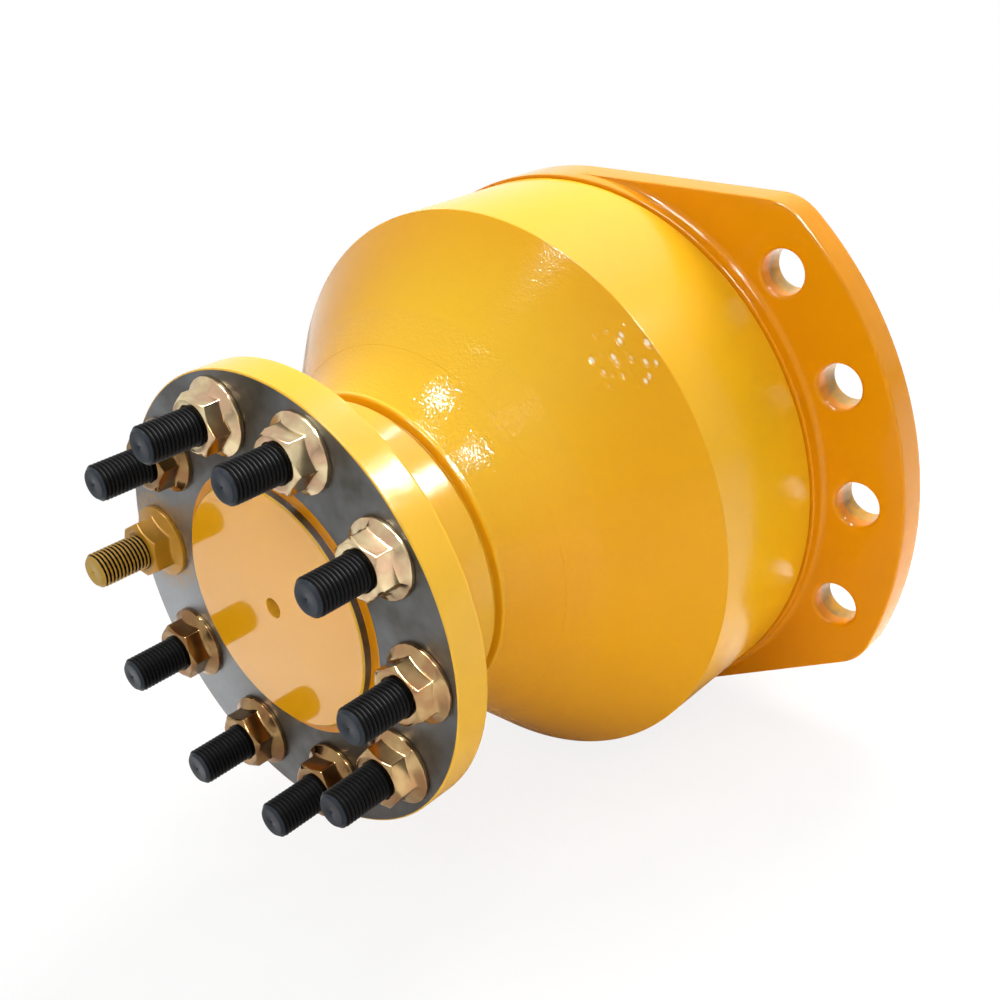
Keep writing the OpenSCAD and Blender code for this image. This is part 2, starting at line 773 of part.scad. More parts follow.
module distributor() {
    color(bronze) lay_down() difference() {
        turned([
            [distributor_bore_r, land_z0[2]], [land_r[2] - spigot_gap, land_z0[2]],
            [land_r[2] - spigot_gap, land_z1[2]], [land_r[1] - neck_drop[1], land_z1[2]],
            [land_r[1] - neck_drop[1], land_z0[1]], [land_r[1] - spigot_gap, land_z0[1]],
            [land_r[1] - spigot_gap, land_z1[1]], [land_r[0] - neck_drop[0], land_z1[1]],
            [land_r[0] - neck_drop[0], land_z0[0]], [land_r[0] - spigot_gap, land_z0[0]],
            [land_r[0] - spigot_gap, land_z1[0]], [distributor_r, land_z1[0]],
            [distributor_r, block_z0 - face_gap], [distributor_bore_r, block_z0 - face_gap]
        ]);
        for (i = [0 : 2]) at_seal_ring(i)
            tube_between(land_r[i] + cut, land_r[i] - seal_ring_depth, 0, seal_ring_w);
        around(lobe_count, feed_circle_r) drill(face_feed_r, land_z0[0] - 8, block_z0 + cut);
        for (i = [0 : lobe_count - 1]) rotate((i + 0.5) * 360 / lobe_count) {
            translate([feed_circle_r, 0, 0]) drill(face_feed_r, cross_slot_z, block_z0 + cut);
            translate([deep_feed_circle_r, -deep_feed_r, cross_slot_z])
                cube([feed_circle_r - deep_feed_circle_r, 2 * deep_feed_r, -cross_slot_z - 3]);
            translate([deep_feed_circle_r, 0, 0]) drill(deep_feed_r, land_z0[1] - 12, -3);
            radial_drill(deep_feed_r, land_z0[1] - 7, deep_feed_circle_r, land_r[0]);
        }
        around(lobe_count, spring_circle_r, 0)
            drill(spring_pocket_r, land_z0[2] - cut, land_z0[2] + spring_pocket_depth);
        rotate(pin_turn) translate([spring_circle_r, 0, 0])
            drill(pin_r, land_z0[2] - cut, land_z0[2] + pin_bite);
    }
}

module at_seal_ring(i) {
    translate([0, 0, (land_z0[i] + land_z1[i]) / 2 - seal_ring_w / 2]) children();
}

module distributor_rings() {
    color(rubber) lay_down() for (i = [0 : 2]) at_seal_ring(i)
        tube_between(land_r[i], land_r[i] - seal_ring_depth, 0, seal_ring_w);
}

// Coil springs behind the distributor. Each is a round wire swept along a helix.
spring_wire_r = 0.9;
spring_play = 0.6;
spring_coil_r = spring_pocket_r - spring_wire_r - spring_play;
spring_turns = 5;
spring_steps = 10;

function ring_of(a, z, sides) = [
    for (k = [0 : sides - 1]) let (b = k * 360 / sides, r = spring_coil_r + spring_wire_r * cos(b))
        [r * cos(a), r * sin(a), z + spring_wire_r * sin(b)]
];

module spring_coil(z0, z1) {
    sides = 6;
    rings = spring_turns * spring_steps;
    rise = z1 - z0 - 2 * spring_wire_r;
    points = [
        for (i = [0 : rings])
            each ring_of(i * 360 / spring_steps, z0 + spring_wire_r + rise * i / rings, sides)
    ];
    faces = concat(
        [[for (k = [0 : sides - 1]) k]],
        [for (i = [0 : rings - 1]) for (k = [0 : sides - 1])
            let (a = i * sides + k, b = i * sides + (k + 1) % sides)
                each [[a, a + sides, b], [b, a + sides, b + sides]]],
        [[for (k = [sides - 1 : -1 : 0]) rings * sides + k]]
    );
    polyhedron(points = points, faces = faces);
}

module distributor_springs() {
    color(ground_steel) lay_down() around(lobe_count, spring_circle_r, 0)
        spring_coil(chamber_floor_z, land_z0[2] + spring_pocket_depth);
}

module distributor_pin() {
    color(ground_steel) lay_down() rotate(pin_turn) translate([spring_circle_r, 0, 0])
        drill(pin_r, chamber_floor_z - pin_seat, land_z0[2] + pin_bite);
}

// Rear cover: flange and spigot behind the plate, barrel around the distributor, ports
module distribution_cover() {
    barrel_r = barrel_d / 2;
    color(painted) lay_down() difference() {
        union() {
            turned([
                [0, cover_end_z], [barrel_r - 2, cover_end_z], [barrel_r, cover_end_z + 2],
                [barrel_r, -cover_flange_t - 6], [barrel_r + 6, -cover_flange_t],
                [cover_flange_r - edge_break, -cover_flange_t],
                [cover_flange_r, -cover_flange_t + edge_break],
                [cover_flange_r, cover_seat], [cam_ring_r - spigot_gap, cover_seat],
                [cam_ring_r - spigot_gap, cover_spigot], [cam_max_r - stroke, cover_spigot],
                [cam_max_r - stroke, -1], [0, -1]
            ]);
            for (i = [0, 1]) rotate(port_angles[i])
                radial_drill(port_boss_r, port_z[i], barrel_r - 12, port_boss_reach);
        }
        drill(distributor_r + spigot_gap, land_z1[0] - spigot_gap, cut);
        drill(land_r[0], land_z1[1], 0);
        drill(land_r[1], land_z1[2], 0);
        drill(land_r[2], chamber_floor_z, 0);
        for (i = [0, 1]) rotate(port_angles[i]) {
            radial_drill(work_port_r, port_z[i], port_boss_reach - port_depth, port_boss_reach + cut);
            radial_drill(port_feed_r, port_z[i], land_r[i] - 4, port_boss_reach);
        }
        for (a = [drain_angle, plug_angle]) rotate(a) translate([drain_circle_r, 0, 0]) {
            drill(drain_r, cover_end_z - cut, cover_end_z + drain_depth);
            drill(drain_feed_r, cover_end_z, cut);
        }
        rotate(pin_turn) translate([spring_circle_r, 0, 0])
            drill(pin_r, chamber_floor_z - pin_seat, chamber_floor_z + cut);
        at_dowels() drill(dowel_r, cam_z0 - dowel_depth, cam_z0 + cut);
        around(screw_count, screw_circle_r, 180 / screw_count) {
            drill(screw_hole_r, -cover_flange_t - cut, cut);
            drill(screw_head_r + 0.5, -cover_flange_t - cut, -cover_flange_t + screw_sunk);
        }
    }
}

module cover_screws() {
    head_z = -cover_flange_t + screw_sunk;
    color(black_oxide) lay_down() around(screw_count, screw_circle_r, 180 / screw_count) difference() {
        union() {
            drill(screw_head_r, head_z - screw_d, head_z);
            drill(screw_r, head_z - 1, seam_z + screw_bite);
        }
        translate([0, 0, head_z - screw_d - cut]) cylinder(r = screw_d * 0.48, h = screw_d / 2 + cut, $fn = 6);
    }
}

module o_ring(z) {
    rotate_extrude() translate([cam_ring_r + o_ring_room / 2, z + o_ring_depth / 2]) circle(r = o_ring_r, $fn = 24);
}

module cover_o_ring() {
    color(rubber) lay_down() o_ring(cover_seat);
}

module housing_o_ring() {
    color(rubber) lay_down() o_ring(seam_z);
}

plug_washer_t = 1.5;
plug_head_r = drain_r + 4;

module drain_plug() {
    head_t = 5;
    color(bare_steel) lay_down() rotate(plug_angle) translate([drain_circle_r, 0, cover_end_z]) difference() {
        turned([
            [0, -plug_washer_t - head_t], [plug_head_r - 1, -plug_washer_t - head_t],
            [plug_head_r, -plug_washer_t - head_t + 1], [plug_head_r, -plug_washer_t],
            [drain_r, -plug_washer_t], [drain_r, drain_depth - 3], [0, drain_depth - 3]
        ]);
        translate([0, 0, -plug_washer_t - head_t - cut]) cylinder(r = 5.8, h = 8 + cut, $fn = 6);
    }
}

module drain_plug_washer() {
    color("#b87a4b") lay_down() rotate(plug_angle) translate([drain_circle_r, 0, 0])
        tube_between(plug_head_r - 0.5, drain_r, cover_end_z - plug_washer_t, cover_end_z);
}

wheel_shaft();
wheel_studs();
wheel_nuts();
bearing_housing();
mounting_plate();
seal_case();
seal_lip();
seal_spring();
front_bearing_cup();
front_bearing_cone();
front_bearing_rollers();
front_bearing_cage();
rear_bearing_cup();
rear_bearing_cone();
rear_bearing_rollers();
rear_bearing_cage();
bearing_tab_washer();
bearing_nut();
cylinder_block();
block_circlip();
cam_ring();
cam_dowels();
distributor();
distributor_rings();
distributor_springs();
distributor_pin();
distribution_cover();
cover_screws();
cover_o_ring();
housing_o_ring();
drain_plug();
drain_plug_washer();
piston(1);  // piston_1
piston(2);  // piston_2
piston(3);  // piston_3
piston(4);  // piston_4
piston(5);  // piston_5
piston(6);  // piston_6
piston(7);  // piston_7
piston(8);  // piston_8
piston_ring(1);  // piston_ring_1
piston_ring(2);  // piston_ring_2
piston_ring(3);  // piston_ring_3
piston_ring(4);  // piston_ring_4
piston_ring(5);  // piston_ring_5
piston_ring(6);  // piston_ring_6
piston_ring(7);  // piston_ring_7
piston_ring(8);  // piston_ring_8
piston_roller(1);  // piston_roller_1
piston_roller(2);  // piston_roller_2
piston_roller(3);  // piston_roller_3
piston_roller(4);  // piston_roller_4
piston_roller(5);  // piston_roller_5
piston_roller(6);  // piston_roller_6
piston_roller(7);  // piston_roller_7
piston_roller(8);  // piston_roller_8
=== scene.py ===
"""Looks of a radial piston hydraulic wheel motor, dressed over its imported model.

Distances along the shaft are counted from the rear face of the mounting plate towards the wheel
flange. That direction is -Y, so a point at radius r and distance h lies at (r cos a, -h, r sin a).
"""

import json
import math

import bmesh
import bpy
import numpy as np
from bpy.props import FloatProperty, FloatVectorProperty, IntProperty, PointerProperty
from mathutils import Matrix, Vector
from mathutils.geometry import delaunay_2d_cdt


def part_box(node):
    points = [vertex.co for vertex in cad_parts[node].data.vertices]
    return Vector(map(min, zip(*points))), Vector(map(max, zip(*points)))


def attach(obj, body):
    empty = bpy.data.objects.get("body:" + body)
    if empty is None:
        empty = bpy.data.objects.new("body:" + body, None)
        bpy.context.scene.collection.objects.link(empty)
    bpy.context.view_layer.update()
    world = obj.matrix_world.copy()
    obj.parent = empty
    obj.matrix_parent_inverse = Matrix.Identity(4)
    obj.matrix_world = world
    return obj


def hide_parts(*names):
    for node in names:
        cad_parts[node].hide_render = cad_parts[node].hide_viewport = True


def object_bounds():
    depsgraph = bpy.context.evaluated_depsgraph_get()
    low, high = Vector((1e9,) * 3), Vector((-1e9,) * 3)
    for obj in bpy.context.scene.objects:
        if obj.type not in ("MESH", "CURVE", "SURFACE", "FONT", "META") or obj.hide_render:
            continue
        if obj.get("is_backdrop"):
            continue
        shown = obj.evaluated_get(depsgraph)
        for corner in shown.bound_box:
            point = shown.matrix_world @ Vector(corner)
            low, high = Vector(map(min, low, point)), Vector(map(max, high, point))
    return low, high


bl_info = {
    "name": "Radial piston wheel motor",
    "version": (1, 0, 0),
    "blender": (4, 5, 0),
    "location": "View3D > Sidebar > Motor",
    "description": "Dresses the packed model of a radial piston hydraulic motor",
    "category": "Object",
}

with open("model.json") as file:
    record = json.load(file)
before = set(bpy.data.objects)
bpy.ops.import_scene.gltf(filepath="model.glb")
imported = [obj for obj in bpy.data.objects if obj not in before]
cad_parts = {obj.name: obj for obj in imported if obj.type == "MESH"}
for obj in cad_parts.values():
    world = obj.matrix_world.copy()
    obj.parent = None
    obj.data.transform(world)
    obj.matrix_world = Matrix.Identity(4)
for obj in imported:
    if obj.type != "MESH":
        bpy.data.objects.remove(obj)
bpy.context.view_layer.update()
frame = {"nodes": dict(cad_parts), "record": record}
MM = 0.001
TURN = 2 * math.pi
MISTED = 4  # the stud and nut that were sprayed along with the flange, counted from 0


def reach(node, axis=0):
    """Outer radius of a round node, from its box."""
    low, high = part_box(node)
    return (high[axis] - low[axis]) / 2


def front(node):
    """Distance along the shaft of a node's end towards the wheel."""
    return -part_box(node)[0][1]


def linear(code, alpha=1.0):
    """sRGB hex colour as linear values with alpha."""
    parts = [int(code[i : i + 2], 16) / 255 for i in (0, 2, 4)]
    return [c / 12.92 if c <= 0.04045 else ((c + 0.055) / 1.055) ** 2.4 for c in parts] + [alpha]


def length(label, text, default):
    """A size of the object, in metres."""
    return FloatProperty(name=label, description=text, default=default, unit="LENGTH", precision=5)


def angle(label, text, degrees):
    """An angle of the object, given in degrees."""
    return FloatProperty(name=label, description=text, default=math.radians(degrees), unit="ROTATION")


def colour(label, text, code):
    """A colour of the object, from its sRGB hex code."""
    return FloatVectorProperty(
        name=label, description=text, default=linear(code), size=4, subtype="COLOR", min=0, max=1
    )


class MotorSizes(bpy.types.PropertyGroup):
    """Sizes of the pieces that the photograph shows."""

    flange_r: length("Flange radius", "Radius of the wheel flange", reach("wheel_shaft"))
    flange_t: length("Flange thickness", "Thickness of the wheel flange", 23 * MM)
    flange_fillet: length("Flange fillet", "Radius of the fillet between hub and flange", 30 * MM)
    pilot_r: length("Pilot radius", "Radius of the pilot", 75 * MM)
    pilot_h: length("Pilot height", "Height of the pilot above the flange", 5.5 * MM)
    hub_r: length("Hub radius", "Radius of the hub behind the flange", 96.5 * MM)
    hub_len: length("Hub length", "Length of the hub behind the flange", 51 * MM)
    centre_hole_r: length("Centre hole radius", "Radius of the lathe centre hole", 6 * MM)
    paint_ring: length("Painted ring", "Width of the painted ring around the pilot", 6.5 * MM)
    stud_count: IntProperty(name="Studs", description="Number of wheel studs", default=10)
    stud_circle_r: length("Stud circle", "Radius of the stud circle", 112.5 * MM)
    stud_r: length("Stud radius", "Outer radius of the stud thread", 11 * MM)
    stud_turn: angle("First stud", "Angle of the first stud", 20.5)
    stud_chamfer: length("Stud chamfer", "Chamfer on the tip of a stud", 2.4 * MM)
    stud_foot: length("Stud foot", "Length of a stud behind the flange's face", 30 * MM)
    thread_pitch: length("Thread pitch", "Pitch of the stud thread", 2.5 * MM)
    nut_af: length("Nut width", "Width across the flats of a nut", 32 * MM)
    nut_h: length("Nut height", "Height of a nut", 18 * MM)
    nut_collar_r: length("Nut collar", "Radius of the nut's collar", 23 * MM)
    nut_collar_t: length("Nut collar rim", "Thickness of the collar's rim", 3 * MM)
    body_r: length("Body radius", "Radius of the cylindrical body", reach("bearing_housing"))
    crease_h: length("Crease", "Distance of the crease from the rear face", 122 * MM)
    collar_r: length("Collar radius", "Radius of the housing's collar", 99 * MM)
    collar_len: length("Collar length", "Length of the housing's collar", 11 * MM)
    collar_land: length("Collar land", "Straight part of the collar", 3 * MM)
    neck_fillet: length("Neck fillet", "Radius of the wide fillet from collar to cone", 105 * MM)
    neck_step: length("Neck step", "Height of the faint step where the neck meets the cone", 0.12 * MM)
    neck_spread: length("Rough spread", "Reach of the neck's rough enamel up the cone", 17 * MM)
    seam_h: length("Seam", "Distance of the seam from the rear face", 31 * MM)
    seam_depth: length("Seam depth", "Depth of the dark seam", 1.6 * MM)
    seam_w: length("Seam width", "Width of the dark seam", 1.2 * MM)
    plate_t: length("Plate thickness", "Thickness of the mounting plate", 21 * MM)
    plate_round_r: length("Ring radius", "Radius of the raised ring and of the plate above", 186 * MM)
    plate_low_r: length("Plate radius below", "Radius of the plate below", 191 * MM)
    ring_fillet: length("Ring fillet", "Largest radius of the fillet at the ring's foot", 4 * MM)
    plate_round: length("Plate rounding", "Rounding of the edges of ring and plate", 1 * MM)
    ear_round: length("Ear rounding", "Largest rounding of the ears' front edge", 1.6 * MM)
    ear_r: length("Ear radius", "Radius of the plate's two ears", reach("mounting_plate", 0))
    ear_slope: angle("Upper ear slope", "Slope of the ears' upper edges", 13)
    ear_slope_low: angle("Lower ear slope", "Slope of the ears' lower edges", 15.8)
    ear_corner_r: length("Ear corner", "Radius of the ears' corners", 34 * MM)
    hole_r: length("Mounting hole", "Radius of a mounting hole", 14 * MM)
    hole_circle_r: length("Hole circle", "Radius of the circle of mounting holes", 208.5 * MM)
    hole_step: angle("Hole step", "Angle between neighbouring mounting holes", 20.5)
    hole_round: length("Hole rounding", "Rounding of a hole's front edge", 2.6 * MM)
    hole_round_rear: length("Rear hole rounding", "Rounding of a hole's rear edge", 0.6 * MM)
    hole_cover: length("Enamel in a hole", "How far the plate's enamel reaches into a hole", 9 * MM)


class MotorSeats(bpy.types.PropertyGroup):
    """Sizes of shaft and housing where other pieces seat, which the photograph doesn't show.

    A name that ends in _h is a distance from the plate's rear face.
    """

    centre_hole_depth: length("Centre hole depth", "Depth of the lathe centre hole", 16 * MM)
    centre_hole_tip: length("Centre hole tip", "Depth of its cone's tip", 22 * MM)
    recess_r: length("Hub recess", "Radius of the recess that takes the housing's lip", 93.7 * MM)
    recess_len: length("Hub recess depth", "Depth of that recess", 4.5 * MM)
    seal_journal_r: length("Seal journal", "Radius of the shaft under the seal", 77.5 * MM)
    seal_journal_h: length("Seal journal end", "Rear end of the seal journal", 198 * MM)
    front_journal_r: length("Front journal", "Radius of the shaft in the front bearing", 60 * MM)
    front_journal_h: length("Front journal end", "Rear end of the front journal", 158 * MM)
    land_r: length("Land", "Radius of the shaft between the bearings", 58 * MM)
    land_h: length("Land end", "Rear end of the land", 124 * MM)
    rear_journal_r: length("Rear journal", "Radius of the shaft in the rear bearing", 55 * MM)
    rear_journal_h: length("Rear journal end", "Rear end of the rear journal", 84 * MM)
    thread_r: length("Nut thread", "Radius of the bearing nut's thread", 54 * MM)
    thread_h: length("Nut thread end", "Rear end of that thread", 64 * MM)
    spline_r: length("Spline", "Radius of the spline in the cylinder block", 46 * MM)
    spline_h: length("Spline end", "Rear end of the shaft", 10 * MM)
    lip_r: length("Housing lip", "Radius of the lip in front of the collar", 93 * MM)
    lip_len: length("Housing lip length", "Length of that lip", 7.5 * MM)
    front_seat_r: length("Front seat", "Radius of the seat of seal and front bearing", 90 * MM)
    front_seat_h: length("Front seat end", "Shoulder of the front bearing", 160 * MM)
    shoulder_r: length("Shoulders", "Radius inside the bearings' shoulders", 77 * MM)
    rear_seat_r: length("Rear seat", "Radius of the rear bearing's seat", 85 * MM)
    rear_seat_h: length("Rear seat start", "Shoulder of the rear bearing", 122 * MM)
    boss_r: length("Bearing boss", "Outer radius of the boss around the rear bearing", 99 * MM)
    boss_h: length("Bearing boss end", "Rear end of that boss", 86 * MM)
    hollow_h: length("Hollow", "Front end of the hollow around the boss", 150 * MM)
    hollow_slope_r: length("Hollow slope", "Radius where the hollow's slope starts", 127.7 * MM)
    hollow_slope_h: length("Hollow slope end", "Where the hollow's slope ends", 129.7 * MM)
    hollow_r: length("Hollow radius", "Radius of the hollow behind the slope", 148 * MM)
    cam_seat_h: length("Cam ring seat", "Shoulder of the cam ring", 61 * MM)
    cam_wall: length("Cam wall", "Wall of the housing around the cam ring", 28 * MM)


class MotorColours(bpy.types.PropertyGroup):
    """Colours of the finishes."""

    # the enamels below are one yellow paint in lit and shaded copies: this paler one is painted sheen on
    # flange, hub and cover
    enamel: colour("Enamel", "Machinery enamel on hub, flange and rear cover", "ebb634")
    enamel_cast: colour("Enamel on the casting", "Machinery enamel on the cone's rough skin", "e6a413")
    # painted sheen: a paler copy of the cast enamel, laid over the neck and the cone's upper side where the
    # lamps light it
    enamel_painted_sheen: colour("Enamel on the neck", "Machinery enamel where the passes overlap", "eabc2c")
    # painted light: a yellower copy of the same enamel on the lit cylinder
    enamel_body: colour("Enamel on the body", "Machinery enamel on the turned cylinder", "eab018")
    # painted shade: a deeper orange copy of the same enamel on the plate
    enamel_plate: colour("Plate enamel", "Machinery enamel on the plate", "e09003")
    enamel_hole: colour("Hole enamel", "Thick enamel inside the mounting holes", "c8942c")
    primer: colour("Primer", "Primer where the enamel misses the hole walls", "8f7a4c")
    enamel_thin: colour("Thin enamel", "Enamel on the smooth pilot", "f0a812")
    steel: colour("Turned steel", "Bare turned face of the flange", "757779")
    oxide: colour("Black oxide", "Blackened studs", "070809")
    zinc_straw: colour("Straw zinc", "Nuts with a thin, pale film", "dac79e")
    zinc_gold: colour("Gold zinc", "Nuts with a thicker film", "b89a6c")
    zinc_bronze: colour("Bronze zinc", "Nuts with the thickest film", "987a50")
    overspray: colour("Overspray", "Enamel mist on one stud and nut", "b8860f")


def rounded(corners, closed=False, loop=0.35 * MM):
    """Points of a profile and the finish of the stretch after each.

    Each corner is (r, h, radius, finish). A corner of radius q between unit directions u and v is
    an arc of q about the point on their bisector at q / sin(half angle). Small arcs have a point
    every 15 degrees and wide ones every 4. A support point lies a little way before and after each
    corner, which keeps flat stretches flat under smooth shading.
    """
    spots = np.array([c[:2] for c in corners], float)
    count = len(spots)
    points, finish = [], []
    for i, (_, _, radius, kind) in enumerate(corners):
        here = spots[i]
        before, after = spots[i - 1] - here, spots[(i + 1) % count] - here
        last = kind if closed or i < count - 1 else corners[i - 1][3]
        earlier = corners[i - 1][3]
        if not closed and i in (0, count - 1):
            points.append(here[None])
            finish.append([last])
            continue
        size_u, size_v = np.linalg.norm(before), np.linalg.norm(after)
        u, v = before / size_u, after / size_v
        half = math.acos(float(np.clip(u @ v, -1, 1))) / 2
        if radius <= 0 or half > 0.499 * math.pi:
            arc = here[None]
        else:
            radius = min(radius, 0.9 * min(size_u, size_v) * math.tan(half))
            centre = here + (u + v) / np.linalg.norm(u + v) * radius / math.sin(half)
            start = here + u * radius / math.tan(half) - centre
            end = here + v * radius / math.tan(half) - centre
            sweep = math.pi - 2 * half
            steps = max(3, int(math.ceil(sweep / math.radians(15 if radius < 5 * MM else 4))))
            t = np.linspace(0, 1, steps + 1)[:, None]
            arc = centre + (np.sin((1 - t) * sweep) * start + np.sin(t * sweep) * end) / math.sin(sweep)
        rows, kinds = [arc], [kind] * len(arc)
        if size_u > 6 * loop:
            rows.insert(0, arc[:1] + u * loop)
            kinds = [earlier] + kinds
        if size_v > 6 * loop:
            rows.append(arc[-1:] + v * loop)
            kinds.append(kind)
        points += rows
        finish.append(kinds)
    return np.concatenate(points), np.concatenate(finish).astype(int)


def build(name, points, faces, kinds, materials, body, stands_for=()):
    """An object from an array of points and arrays of triangles or quads, riding on a body."""
    mesh = bpy.data.meshes.new(name)
    sizes = np.concatenate([np.full(len(f), f.shape[1]) for f in faces])
    corners = np.concatenate([f.ravel() for f in faces])
    mesh.vertices.add(len(points))
    mesh.vertices.foreach_set("co", np.asarray(points, np.float32).ravel())
    mesh.loops.add(len(corners))
    mesh.loops.foreach_set("vertex_index", corners.astype(np.int32))
    mesh.polygons.add(len(sizes))
    mesh.polygons.foreach_set("loop_start", np.concatenate([[0], np.cumsum(sizes)[:-1]]).astype(np.int32))
    mesh.update(calc_edges=True)
    mesh.validate()
    mesh.polygons.foreach_set("material_index", np.asarray(kinds, np.int32))
    mesh.polygons.foreach_set("use_smooth", np.ones(len(sizes), bool))
    shell = bmesh.new()
    shell.from_mesh(mesh)
    bmesh.ops.remove_doubles(shell, verts=shell.verts, dist=1e-6)
    bmesh.ops.recalc_face_normals(shell, faces=shell.faces)
    shell.to_mesh(mesh)
    shell.free()
    for material in materials:
        mesh.materials.append(material)
    made = bpy.data.objects.new(name, mesh)
    bpy.context.scene.collection.objects.link(made)
    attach(made, body)
    if stands_for:
        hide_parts(*stands_for)
    return made


def skin(rings, kinds, closed=False):
    """Points, faces and finishes of a surface through rings of points.

    rings has one row per ring, each closed on itself. A surface that isn't closed along the rows
    gets a fan of triangles to the middle of its first and last rings.
    """
    rows, columns = rings.shape[:2]
    points = rings.reshape(-1, 3)
    low = np.arange(rows if closed else rows - 1)
    side = np.arange(columns)
    here = (low[:, None] * columns + side).ravel()
    aside = (low[:, None] * columns + (side + 1) % columns).ravel()
    above = (((low[:, None] + 1) % rows) * columns + side).ravel()
    above_aside = (((low[:, None] + 1) % rows) * columns + (side + 1) % columns).ravel()
    faces = [np.stack([here, aside, above_aside, above], 1)]
    kinds = np.broadcast_to(np.asarray(kinds).reshape(len(kinds), -1), (len(kinds), columns))
    finish = [kinds[: len(low)].ravel()]
    if not closed:
        for row, pole in ((0, len(points)), (rows - 1, len(points) + 1)):
            ring = row * columns + side
            faces.append(np.stack([ring, np.roll(ring, -1), np.full(columns, pole)], 1))
            finish.append(kinds[min(row, len(kinds) - 1)])
        points = np.concatenate([points, rings[:1].mean(1), rings[-1:].mean(1)])
    return points, faces, np.concatenate(finish)


def joined(parts):
    """One set of points, faces and finishes from several."""
    points, faces, kinds, base = [], [], [], 0
    for some_points, some_faces, some_kinds in parts:
        points.append(some_points)
        faces += [f + base for f in some_faces]
        kinds.append(some_kinds)
        base += len(some_points)
    return np.concatenate(points), faces, np.concatenate(kinds)


def turned(corners, closed, steps=256):
    """A surface of revolution about the shaft: the point (r, h) goes round at (r cos a, -h, r sin a)."""
    profile, kinds = rounded(corners, closed)
    a = np.arange(steps) * TURN / steps
    r, h = profile[:, :1], profile[:, 1:]
    rings = np.stack([r * np.cos(a), -h + 0 * a, r * np.sin(a)], 2)
    return skin(rings, kinds, closed)


def add(tree, kind, settings=None, links=None):
    """Adds a node, sets its properties or sockets, and links other nodes' sockets into it.

    A socket goes by its name, or by its number where names repeat: a Mix of colours has its factor
    at 0 and its two colours at 6 and 7.
    """
    made = tree.nodes.new(kind)
    for name, value in (settings or {}).items():
        if isinstance(name, str) and hasattr(made, name):
            setattr(made, name, value)
        else:
            made.inputs[name].default_value = value
    for name, source in (links or {}).items():
        tree.links.new(source, made.inputs[name])
    return made


def fresh(name):
    """A new material with its tree, its place on the object and its output."""
    material = bpy.data.materials.new(name)
    material.use_nodes = True
    tree = material.node_tree
    tree.nodes.clear()
    place = add(tree, "ShaderNodeTexCoord").outputs["Object"]
    out = add(tree, "ShaderNodeOutputMaterial")
    return material, tree, place, out


